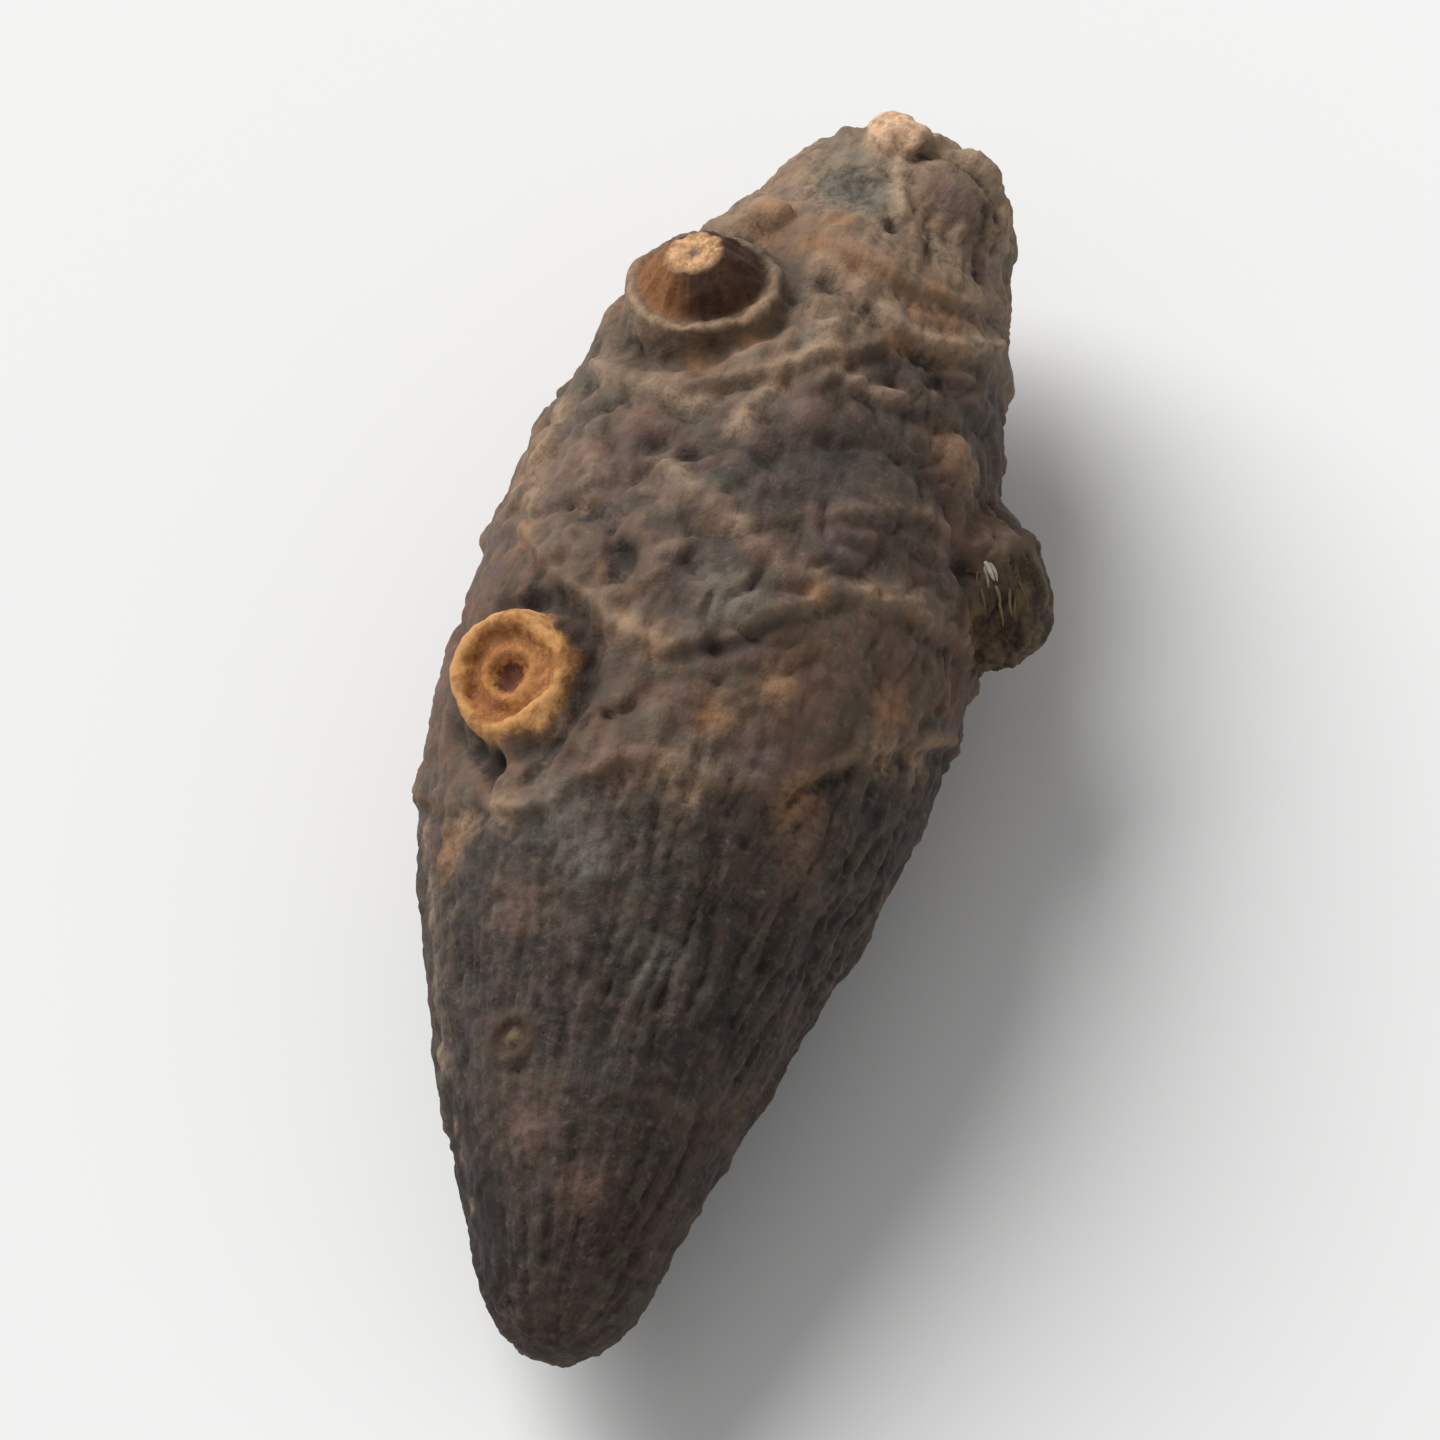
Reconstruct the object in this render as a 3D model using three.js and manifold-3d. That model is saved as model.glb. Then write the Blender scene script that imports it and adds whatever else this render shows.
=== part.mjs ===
// A dried nutgrass rhizome (Cyperus rotundus), whole, lying on its flattened underside.
// It grew as one piece, so it is one solid: a spindle with slanting leaf-scar rings, a blunt
// crown, a broken stem stub in its collar, a root scar, and a few small buds.
// Millimetres, +Z up, +Y from the narrow tip to the crown, origin at the middle of its base.
import * as THREE from "three";
import { mergeVertices } from "three/addons/utils/BufferGeometryUtils.js";
import Module from "manifold-3d";

// Driving dimensions.
const LENGTH = 24.5; // tip to crown
const WIDTH = 8.9; // across the belly
const HEIGHT = 8.1; // through the belly, before its underside is flattened
const FLATTENED = 0.35; // how far the underside is pressed in where it rests
const RING_HEIGHT = 0.17; // how far a leaf-scar ring stands out
const RING_REACH = 0.55; // how far its foot spreads along the body, each way

// Outline from tip to crown: share of the length, then a value there.
const HALF_WIDTHS = [[0, 0.3], [0.05, 0.36], [0.13, 0.51], [0.25, 0.72], [0.37, 0.9], [0.5, 1],
  [0.6, 0.99], [0.68, 0.93], [0.77, 0.83], [0.84, 0.73], [0.9, 0.57], [0.95, 0.47], [1, 0.42]];
const HALF_HEIGHTS = [[0, 0.3], [0.06, 0.4], [0.15, 0.56], [0.28, 0.77], [0.4, 0.94], [0.5, 1],
  [0.62, 0.98], [0.72, 0.91], [0.82, 0.79], [0.9, 0.63], [0.95, 0.52], [1, 0.46]];
// The middle line's way to the right and up, in millimetres: the body is slightly bowed.
const SIDEWAYS = [[0, 0.1], [0.1, -0.15], [0.25, -0.45], [0.4, -0.45], [0.6, -0.35], [0.8, -0.2],
  [0.9, 0.25], [1, 0.85]];
const LIFT = [[0, -0.95], [0.15, -0.5], [0.35, -0.1], [0.5, 0], [0.7, 0], [0.85, 0.05], [1, 0.15]];
const TIP_ROUNDING = 1.5; // length over which the tip closes
const CROWN_ROUNDING = 1.1; // length over which the crown closes

// Leaf-scar rings: distance from the tip at twelve places round the body, every 30 degrees from
// its right side over the top to its left side and back underneath, and how strongly each
// stands out.
const RINGS = [
  { at: [4.4, 4.2, 3.8, 3.7, 3.6, 3.7, 3.9, 4.1, 4.4, 4.5, 4.5, 4.5], strength: 0.35 },
  { at: [12.9, 11.6, 9.6, 9.3, 8.4, 8.7, 9.7, 10.2, 10.8, 11.5, 12.2, 12.8], strength: 1 },
  { at: [14.5, 14.2, 13.3, 11.4, 12.4, 14.1, 14.9, 15, 14.8, 14.6, 14.5, 14.4], strength: 1 },
  { at: [16.4, 16.1, 15.2, 14, 14.8, 16.2, 16.9, 17, 16.9, 16.7, 16.6, 16.5], strength: 0.6 },
  { at: [20.2, 19.6, 18.9, 17.4, 16.6, 17.6, 18.6, 19.2, 19.6, 19.9, 20.1, 20.2], strength: 0.8 },
  { at: [21.6, 21, 20.3, 20.5, 20.9, 21.1, 21.3, 21.4, 21.5, 21.5, 21.6, 21.6], strength: 0.7 },
];

// Pieces that stand on the body: places on its skin are a distance from the tip and an angle
// round the body in degrees, 0 at the right side and 90 on top.
const STUB = { along: 18.9, angle: 117, lean: [-0.24, 0.245, 0.94], length: 0.8, foot: 1.12, end: 0.46 };
const COLLAR = { lean: [-0.15, 0.38, 0.91], radius: 1.28, thickness: 0.14, rise: 0.3, spread: 0.75 };
const ROOT_SCAR = { along: 10.8, angle: 132, lean: [-0.38, -0.28, 0.88], radius: 1.14, rise: 0.3, dish: 0.28 };
const BUDS = [
  { name: "side bud", along: 15.85, angle: 1, radius: 1.4, sink: -0.22 },
  { name: "crown lobe", along: 23, angle: 48, radius: 1.3, sink: 0.55 },
  { name: "crown bud", along: 23.5, angle: 95, radius: 0.5, sink: 0.12 },
  { name: "bud beside the stub", along: 20.9, angle: 113, radius: 0.42, sink: 0.12 },
  { name: "lower root scar", along: 4.4, angle: 118, radius: 0.42, sink: 0.24 },
];

const AROUND = 48; // faces round the body
const ROW_GAP = 0.75; // rows of faces between rings are about this far apart
const NEAR_RING = [0.24, RING_REACH]; // extra rows on each side of a ring

// Value at x of the smooth curve through [x, value] points.
function along(points, x) {
  const last = points.length - 1;
  const k = Math.max(0, Math.min(last - 1, points.findIndex((p) => p[0] >= x) - 1));
  const slope = (i) => {
    const a = points[Math.max(0, i - 1)];
    const b = points[Math.min(last, i + 1)];
    return (b[1] - a[1]) / (b[0] - a[0]);
  };
  const [x0, y0] = points[k];
  const [x1, y1] = points[k + 1];
  const gap = x1 - x0;
  const u = THREE.MathUtils.clamp((x - x0) / gap, 0, 1);
  const ease = u * u * (3 - 2 * u);
  return y0 + (y1 - y0) * ease + gap * u * (1 - u) * (slope(k) * (1 - u) - slope(k + 1) * u);
}

// Value at an angle, in radians, of the smooth closed curve through evenly spaced values.
function round(values, angle) {
  const n = values.length;
  const turn = (((angle / (2 * Math.PI)) % 1) + 1) % 1;
  const k = Math.floor(turn * n);
  const u = turn * n - k;
  const [a, b, c, d] = [-1, 0, 1, 2].map((i) => values[(k + i + n) % n]);
  return b + 0.5 * u * (c - a + u * (2 * a - 5 * b + 4 * c - d + u * (3 * (b - c) + d - a)));
}

// How open the body is at a distance from the tip: 0 at both ends, 1 past their rounding.
function opening(distance) {
  const end = (gap, rounding) => Math.sqrt(1 - (1 - Math.min(1, Math.max(0, gap) / rounding)) ** 2);
  return end(distance, TIP_ROUNDING) * end(LENGTH - distance, CROWN_ROUNDING);
}

// The body's skin at a distance from the tip and an angle, raised by a height.
function skin(distance, angle, raised = 0) {
  const share = distance / LENGTH;
  const open = opening(distance);
  const halfWidth = (WIDTH / 2) * along(HALF_WIDTHS, share) * open;
  const halfHeight = (HEIGHT / 2) * along(HALF_HEIGHTS, share) * open;
  return new THREE.Vector3(
    along(SIDEWAYS, share) + (halfWidth + raised * open) * Math.cos(angle),
    distance - LENGTH / 2,
    along(LIFT, share) + (halfHeight + raised * open) * Math.sin(angle),
  );
}

// How far the skin stands out at a distance from one ring.
function ringHeight(ring, offset) {
  const u = Math.min(1, Math.abs(offset) / RING_REACH);
  return RING_HEIGHT * ring.strength * (1 - u) ** 1.5;
}

// Rows of the body's net: each is a function from an angle to [distance, height]. Rows lie
// along the rings, so that their crests stay sharp.
function netRows() {
  const tip = { at: RINGS[0].at.map(() => 0), strength: 0 };
  const crown = { at: RINGS[0].at.map(() => LENGTH), strength: 0 };
  const lines = [tip, ...RINGS, crown];
  const rows = [];
  for (let i = 0; i + 1 < lines.length; i++) {
    const [low, high] = [lines[i], lines[i + 1]];
    const lowest = (line, angle) => round(line.at, angle);
    const typical = high.at[0] - low.at[0];
    const inner = Math.max(2, Math.round(typical / ROW_GAP));
    const steps = [];
    if (low.strength) steps.push([0, 0], ...NEAR_RING.map((gap) => [0, gap]));
    else for (const gap of [0.08, 0.3, 0.65, 1.1]) steps.push([0, gap]);
    const from = steps.at(-1)[1];
    const to = high.strength ? NEAR_RING.at(-1) : 0.95;
    for (let j = 1; j < inner - 1; j++) {
      const u = j / (inner - 1);
      steps.push([u, from * (1 - u) - to * u]);
    }
    if (high.strength) for (const gap of NEAR_RING.toReversed()) steps.push([1, -gap]);
    else for (const gap of [0.95, 0.6, 0.3, 0.08]) steps.push([1, -gap]);
    for (const [u, shift] of steps)
      rows.push((angle) => {
        const a = lowest(low, angle);
        const b = lowest(high, angle);
        const distance = a * (1 - u) + b * u + shift;
        return [distance, Math.max(ringHeight(low, distance - a), ringHeight(high, distance - b))];
      });
  }
  return rows;
}

// A closed net: the rows' rings of points, joined to a point at each end.
function bodyGeometry() {
  const rows = netRows();
  const points = [skin(0, 0)];
  for (const row of rows)
    for (let i = 0; i < AROUND; i++) {
      const angle = (i / AROUND) * 2 * Math.PI;
      const [distance, raised] = row(angle);
      points.push(skin(distance, angle, raised));
    }
  points.push(skin(LENGTH, 0));
  const last = points.length - 1;
  const at = (row, i) => 1 + row * AROUND + (i % AROUND);
  const faces = [];
  for (let i = 0; i < AROUND; i++) {
    faces.push(0, at(0, i), at(0, i + 1));
    for (let row = 0; row + 1 < rows.length; row++) {
      faces.push(at(row, i), at(row + 1, i), at(row + 1, i + 1));
      faces.push(at(row, i), at(row + 1, i + 1), at(row, i + 1));
    }
    faces.push(last, at(rows.length - 1, i + 1), at(rows.length - 1, i));
  }
  const geometry = new THREE.BufferGeometry().setFromPoints(points);
  geometry.setIndex(faces);
  return geometry;
}

// Turns a shape that stands on z = 0 so that its z axis points along lean, and sets it at a point.
function standing(geometry, lean, at) {
  const up = new THREE.Vector3(0, 0, 1);
  const turn = new THREE.Quaternion().setFromUnitVectors(up, new THREE.Vector3(...lean).normalize());
  return geometry.applyQuaternion(turn).translate(at.x, at.y, at.z);
}

// A turned shape about z from [radius, height] points that start and end on the axis.
function turned(profile, sides) {
  const points = profile.map(([radius, height]) => new THREE.Vector2(radius, height));
  return new THREE.LatheGeometry(points, sides).rotateX(Math.PI / 2);
}

const degrees = THREE.MathUtils.degToRad;
const placeOf = (spot) => skin(spot.along, degrees(spot.angle));

// Broken stem stub: a short domed cone with a small hollow in its end.
function stubGeometry() {
  const { length, foot, end, lean } = STUB;
  const { rise } = COLLAR;
  const tip = rise + length;
  const profile = [[0, -1], [foot, -1], [foot, rise - 0.05], [foot * 0.94, rise + length * 0.3],
    [end * 1.55, rise + length * 0.72], [end * 1.12, rise + length * 0.94], [end, tip],
    [end * 0.42, tip], [end * 0.3, tip - 0.16], [0, tip - 0.16]];
  return standing(turned(profile, 24), lean, placeOf(STUB));
}

// The low mound under the stub, which spreads into the skin and carries the collar.
function moundGeometry() {
  const { lean, radius, rise, spread } = COLLAR;
  const profile = [[0, -1.3], [radius + spread, -1.3], [radius + spread * 0.45, -0.4],
    [radius + 0.06, rise - 0.1], [radius - 0.1, rise], [0, rise]];
  return standing(turned(profile, 24), lean, placeOf(STUB));
}

// The collar that the leaf sheath left round the stub's foot.
function collarGeometry() {
  const torus = new THREE.TorusGeometry(COLLAR.radius, COLLAR.thickness, 8, 28);
  return standing(torus.translate(0, 0, COLLAR.rise), COLLAR.lean, placeOf(STUB));
}

// Root scar: a low round boss with a raised rim, a dished middle and a small point in it.
function rootScarGeometry() {
  const { radius, rise, dish, lean } = ROOT_SCAR;
  const profile = [[0, -1], [radius, -1], [radius * 1.04, rise * 0.4], [radius * 0.95, rise * 0.9],
    [radius * 0.8, rise], [radius * 0.62, rise * 0.8], [radius * 0.5, rise - dish],
    [radius * 0.2, rise - dish], [0, rise - dish * 0.5]];
  return standing(turned(profile, 24), lean, placeOf(ROOT_SCAR));
}

// A bud: a small flattened ball, partly sunk in the skin.
function budGeometry(bud) {
  const centre = placeOf(bud);
  const middle = skin(bud.along, degrees(bud.angle), -bud.sink - bud.radius * 0.2);
  const ball = new THREE.SphereGeometry(bud.radius, 16, 10).scale(0.85, 1, 0.85);
  return ball.translate(middle.x, centre.y, middle.z);
}

const wasm = await Module();
wasm.setup();

// A three.js geometry as a solid that can be joined and cut.
function solidOf(geometry) {
  const bare = geometry.clone();
  bare.deleteAttribute("normal");
  bare.deleteAttribute("uv");
  const merged = mergeVertices(bare, 1e-4);
  const mesh = new wasm.Mesh({
    numProp: 3,
    vertProperties: merged.attributes.position.array,
    triVerts: new Uint32Array(merged.index.array),
  });
  return new wasm.Manifold(mesh);
}

// A solid as a three.js geometry.
function geometryOf(solid) {
  const mesh = solid.getMesh();
  const geometry = new THREE.BufferGeometry();
  geometry.setAttribute("position", new THREE.BufferAttribute(mesh.vertProperties, 3));
  geometry.setIndex(new THREE.BufferAttribute(mesh.triVerts, 1));
  geometry.computeVertexNormals();
  return geometry;
}

// The block below the resting plane, which the underside is flattened against.
function floorBlock(level) {
  const size = 2 * LENGTH;
  return new THREE.BoxGeometry(size, size, size).translate(0, 0, level - size / 2);
}

const grown = [stubGeometry(), moundGeometry(), collarGeometry(), rootScarGeometry(),
  ...BUDS.map(budGeometry)]
  .map(solidOf)
  .reduce((whole, piece) => whole.add(piece), solidOf(bodyGeometry()));
const restingLevel = -HEIGHT / 2 + FLATTENED;
const geometry = geometryOf(grown.subtract(solidOf(floorBlock(restingLevel))));
geometry.computeBoundingBox();
const { min, max } = geometry.boundingBox;
geometry.translate(-(min.x + max.x) / 2, -(min.y + max.y) / 2, -min.z);

const bark = new THREE.MeshStandardMaterial({ color: "#4a3d35", roughness: 0.78, metalness: 0 });
const rhizome = new THREE.Mesh(geometry, bark);
rhizome.name = "rhizome";

const group = new THREE.Group();
group.add(rhizome);
export default group;
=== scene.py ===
"""Nutgrass rhizome: builds the looks of a dried rhizome round its packed solid."""

import math

import bpy
import numpy as np
from mathutils import Euler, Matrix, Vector, noise


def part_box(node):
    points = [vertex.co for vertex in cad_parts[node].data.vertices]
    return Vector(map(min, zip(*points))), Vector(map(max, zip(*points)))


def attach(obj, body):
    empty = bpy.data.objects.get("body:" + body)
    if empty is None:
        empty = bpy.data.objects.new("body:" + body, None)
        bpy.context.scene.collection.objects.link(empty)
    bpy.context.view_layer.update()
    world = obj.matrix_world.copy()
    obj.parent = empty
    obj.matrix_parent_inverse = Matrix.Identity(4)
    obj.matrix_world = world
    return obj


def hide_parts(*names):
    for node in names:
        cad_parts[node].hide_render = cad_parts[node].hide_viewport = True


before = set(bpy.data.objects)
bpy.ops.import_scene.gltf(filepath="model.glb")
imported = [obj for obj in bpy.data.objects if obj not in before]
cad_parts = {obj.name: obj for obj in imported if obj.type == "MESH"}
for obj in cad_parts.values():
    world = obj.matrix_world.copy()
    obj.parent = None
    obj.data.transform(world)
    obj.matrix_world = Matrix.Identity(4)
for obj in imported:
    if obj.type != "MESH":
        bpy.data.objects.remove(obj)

bl_info = {
    "name": "Nutgrass Rhizome",
    "version": (1, 0, 0),
    "blender": (4, 5, 0),
    "location": "View3D > Sidebar > Rhizome",
    "description": "Builds a dried nutgrass rhizome: ringed bark with scars, buds and a stem stub",
    "category": "Add Mesh",
}

MM = 0.001
SOLID = "rhizome"
SOLID_LOW, SOLID_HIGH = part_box(SOLID)
SOLID_TIP = min((v.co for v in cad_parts[SOLID].data.vertices), key=lambda co: co.y).copy()
BARK = "rhizome_bark"
FIBRE_TUFT = "bud_fibres"
# A strand's width at its start, just after it, along its middle and at its end.
STRAND_WIDTHS = (0.4, 1.0, 0.9, 0.25)

# The stage in metres: where the main light comes from and how widely it is spread, the floor's
# size and how near and how far the camera sees. Its sensor's width is in millimetres.
KEY_FROM = Vector((-0.64, 0.42, 0.64))
KEY_SPREAD = math.radians(46)
FLOOR_SIZE = 1.2
CAMERA_NEAR = 0.005
CAMERA_FAR = 10.0
SENSOR_WIDTH = 36.0

# ---------------------------------------------------------------- outline, in millimetres
# Share of the length from the tip, then the share of the half width or half height there.
HALF_WIDTHS = ((0, 0.3), (0.05, 0.36), (0.13, 0.51), (0.25, 0.72), (0.37, 0.9), (0.5, 1), (0.6, 0.99),
               (0.68, 0.93), (0.77, 0.83), (0.84, 0.73), (0.9, 0.57), (0.95, 0.47), (1, 0.42))
HALF_HEIGHTS = ((0, 0.3), (0.06, 0.4), (0.15, 0.56), (0.28, 0.77), (0.4, 0.94), (0.5, 1),
                (0.62, 0.98), (0.72, 0.91), (0.82, 0.79), (0.9, 0.63), (0.95, 0.52), (1, 0.46))
# Share of the length, then the middle line's way to the right or up.
SIDEWAYS = ((0, 0.1), (0.1, -0.15), (0.25, -0.45), (0.4, -0.45), (0.6, -0.35), (0.8, -0.2),
            (0.9, 0.25), (1, 0.85))
LIFT = ((0, -0.95), (0.15, -0.5), (0.35, -0.1), (0.5, 0), (0.7, 0), (0.85, 0.05), (1, 0.15))
TIP_ROUNDING = 1.5
CROWN_ROUNDING = 1.1
# Where the body's rings of vertices lie: their distances from each end, then between them how far
# from the tip they start, how far from the crown they stop, and how many they are.
END_SECTIONS = (0.03, 0.12, 0.32, 0.65, 1.05, 1.5)
MIDDLE_SECTIONS = (2.2, 2.0, 26)

# Leaf-scar rings: distance from the tip every 30 degrees from the right side over the top.
TIP_RING = (4.4, 4.2, 3.8, 3.7, 3.6, 3.7, 3.9, 4.1, 4.4, 4.5, 4.5, 4.5)
LOWER_RING = (12.9, 11.6, 9.6, 9.3, 8.4, 8.7, 9.7, 10.2, 10.8, 11.5, 12.2, 12.8)
MIDDLE_RING = (14.5, 14.2, 13.3, 11.4, 12.4, 14.1, 14.9, 15, 14.8, 14.6, 14.5, 14.4)
FAINT_RING = (16.4, 16.1, 15.2, 14, 14.8, 16.2, 16.9, 17, 16.9, 16.7, 16.6, 16.5)
UPPER_RING = (20.2, 19.6, 18.9, 17.4, 16.6, 17.6, 18.6, 19.2, 19.6, 19.9, 20.1, 20.2)
CROWN_RING = (21.6, 21, 20.3, 20.5, 20.9, 21.1, 21.3, 21.4, 21.5, 21.5, 21.6, 21.6)
RINGS = ((TIP_RING, 0.25), (LOWER_RING, 0.9), (MIDDLE_RING, 1.0), (FAINT_RING, 0.45), (UPPER_RING, 0.85),
         (CROWN_RING, 1.0))
# The stretches of skin that four of the rings part, from the tip to the crown.
ZONES = ("tapered", "waist", "belly", "neck", "crown")
ZONE_RINGS = (LOWER_RING, MIDDLE_RING, UPPER_RING, CROWN_RING)

# Places on the skin: distance from the tip, then degrees round from the right side over the top.
STUB_PLACE = (18.9, 117)
STUB_LEAN = Vector((-0.24, 0.245, 0.94))
COLLAR_LEAN = Vector((-0.15, 0.3, 0.94))
COLLAR_RADIUS = 1.28
COLLAR_RISE = 0.3
COLLAR_THICKNESS = 0.135
ROOT_SCAR_PLACE = (10.7, 130.5)
ROOT_SCAR_LEAN = Vector((-0.38, -0.28, 0.88))
ROOT_SCAR_SPREAD = 1.05
LOWER_SCAR_PLACE = (4.4, 118)
LOWER_SCAR_LEAN = Vector((-0.45, -0.15, 0.88))
SIDE_BUD_PLACE = (15.85, 1)
SIDE_BUD_LEAN = Vector((0.9, -0.36, 0.1))
SIDE_BUD_RIBS = Vector((0.5, -0.8, -0.35))
CROWN_LOBE_PLACE = (23, 48)
CROWN_LOBE_LEAN = Vector((0.56, 0.42, 0.66))
CROWN_BUD_PLACE = (23.5, 96)
CROWN_BUD_LEAN = Vector((-0.1, 0.55, 0.8))
STUB_BUD_PLACE = (20.9, 113)
STUB_BUD_LEAN = Vector((-0.2, 0.3, 0.85))

# How many sides each thing has when it is modelled, and the collar's rings.
BODY_SIDES = 64
STUB_SIDES = 40
LOWER_SCAR_SIDES = 24
BUD_SIDES = 32
SMALL_BUD_SIDES = 20
STRAND_SIDES = 8
COLLAR_SEGMENTS = (48, 12)
# What grows out of the skin: radius, then height above the foot.
MOUND = ((2.03, -1.3), (1.8, -0.7), (1.62, -0.35), (1.42, 0.05), (1.33, 0.2), (1.18, 0.3), (0.6, 0.3))
STUB_CONE = ((1.12, -0.6), (1.13, 0.2), (1.09, 0.4), (0.96, 0.64), (0.78, 0.86), (0.6, 1.02), (0.5, 1.1),
             (0.3, 1.12))
STUB_HOLLOW = ((0.15, 1.1), (0.1, 0.98), (0.02, 0.97))
ROOT_SCAR = ((1.24, -1.0), (1.2, -0.3), (1.14, 0.08), (1.06, 0.24), (0.9, 0.31), (0.76, 0.26), (0.66, 0.14),
             (0.52, 0.14), (0.4, 0.16), (0.26, 0.05), (0.02, 0.02))
LOWER_SCAR = ((0.55, -0.4), (0.48, 0.0), (0.38, 0.06), (0.24, 0.02), (0.14, 0.07), (0.02, 0.1))
SIDE_BUD = ((1.55, -0.9), (1.46, -0.3), (1.26, 0.2), (1.0, 0.6), (0.68, 0.94), (0.36, 1.14), (0.1, 1.2))
CROWN_LOBE = ((1.3, -1.0), (1.24, -0.5), (1.08, -0.05), (0.82, 0.2), (0.45, 0.36), (0.1, 0.4))
CROWN_BUD = ((0.52, -0.3), (0.52, 0.05), (0.44, 0.28), (0.28, 0.42), (0.06, 0.46))
STUB_BUD = ((0.4, -0.3), (0.38, 0.05), (0.3, 0.2), (0.16, 0.28), (0.04, 0.3))

# Smaller root scars round the sides and the underside.
SMALL_SCARS = ((12.4, 212), (7.7, 301), (17.4, 246), (19.6, 332))
# Where the rhizome broke off at its two ends: distance from the tip, radius.
BROKEN_ENDS = ((0.25, 0.36), (24.3, 0.85))

# Folds of skin: height, half width, then the places that each one runs through.
FOLDS = (
    (0.15, 0.18, ((20.2, 94), (19.9, 83), (19.5, 71), (19.2, 60), (19.2, 51), (19.5, 40), (20.3, 23))),
    (0.13, 0.2, ((18.6, 77), (17.8, 82), (17.3, 87), (16.6, 91), (15.9, 93))),
    (0.09, 0.18, ((17.9, 74), (17.6, 65), (17.8, 56), (18.3, 45))),
    (0.1, 0.22, ((17.5, 141), (16.8, 128), (16.6, 118), (16.5, 108), (16.6, 98))),
    (0.11, 0.2, ((15.2, 110), (14.7, 101), (14.2, 92), (13.8, 82), (13.5, 73), (13.4, 64))),
    (0.08, 0.14, ((15.8, 133), (14.9, 124), (14.2, 125))),
    (0.08, 0.2, ((16.6, 149), (15.7, 149), (14.7, 144), (13.7, 138))),
    (0.24, 0.15, ((21.6, 73), (22.3, 80), (22.9, 85), (23.5, 84), (23.7, 73), (23.5, 58), (23.3, 45),
                  (22.9, 36), (22.4, 30))),
    (0.09, 0.11, ((21.9, 49), (21.4, 47), (20.8, 46))),
    (0.08, 0.12, ((21.6, 68), (21.2, 66), (20.8, 64))),
    (-0.12, 0.12, ((22.5, 44), (21.9, 40), (21.3, 36))),
    (-0.08, 0.1, ((21.6, 61), (20.9, 58), (20.3, 57))),
    (0.1, 0.16, ((17.6, 99), (18.0, 91), (18.5, 81))),
    (0.1, 0.2, ((22.3, 240), (22.8, 210), (22.6, 180))),
    (-0.1, 0.16, ((21.9, 300), (22.9, 290), (23.6, 280))),
    (0.1, 0.2, ((16.4, 215), (15.9, 235), (16.2, 255))),
    (0.09, 0.18, ((12.6, 330), (12.0, 345), (11.2, 352))),
    (0.1, 0.24, ((8.6, 165), (7.8, 164), (6.5, 162), (5.3, 163), (4.4, 164))),
    (-0.1, 0.12, ((6.9, 140), (5.9, 143), (5.0, 145), (4.2, 144))),
)
# Lumps and, with a height below nothing, pits: distance from the tip, degrees, radius, height.
LUMPS = (
    (15.9, 117, 0.38, 0.15), (16.6, 79, 0.4, 0.17), (17.7, 57, 0.18, 0.1), (17.5, 36, 0.6, 0.12),
    (12.6, 83, 0.5, 0.17), (13.1, 98, 0.45, 0.11), (15.0, 127, 0.4, 0.1), (14.3, 93, 0.36, 0.1),
    (11.3, 66, 0.4, 0.08), (10.0, 88, 0.45, 0.07), (12.0, 52, 0.7, 0.08), (19.0, 31, 0.5, 0.08),
    (1.5, 168, 1.6, -0.2), (3.2, 172, 1.4, -0.12), (22.7, 132, 0.7, 0.1), (17.5, 77, 0.26, 0.14),
    (17.8, 55, 0.16, 0.12), (23.5, 122, 0.3, 0.13), (17.9, 70, 0.17, -0.14), (15.4, 112, 0.27, -0.2),
    (15.3, 103, 0.2, -0.14), (17.1, 107, 0.15, -0.1), (13.0, 109, 0.4, -0.12), (12.9, 92, 0.22, -0.12),
    (11.6, 83, 0.22, -0.15), (13.0, 125, 0.18, -0.12), (21.4, 75, 0.24, -0.08), (9.1, 134, 0.32, -0.16),
    (15.5, 24, 0.25, -0.12), (19.5, 85, 0.24, -0.12), (11.1, 113, 0.32, -0.12), (12.3, 131, 0.38, -0.09),
    (15.4, 84, 0.3, -0.14), (16.2, 71, 0.22, -0.12), (16.3, 88, 0.22, -0.14), (22.0, 100, 0.8, -0.12),
    (23.9, 190, 0.4, 0.1), (23.7, 230, 0.35, -0.12), (23.3, 160, 0.4, 0.1), (24.0, 330, 0.45, 0.1),
    (22.6, 350, 0.5, -0.1), (23.1, 200, 0.3, -0.1), (21.0, 150, 0.4, -0.1),
)
# Patches where the skin stays smooth: distance from the tip, degrees, radius.
SMOOTH_PATCHES = ((15.8, 63, 0.9), (22.1, 102, 0.7), (21.0, 60, 0.7), (18.2, 128, 0.8), (22.6, 60, 0.7))
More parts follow.
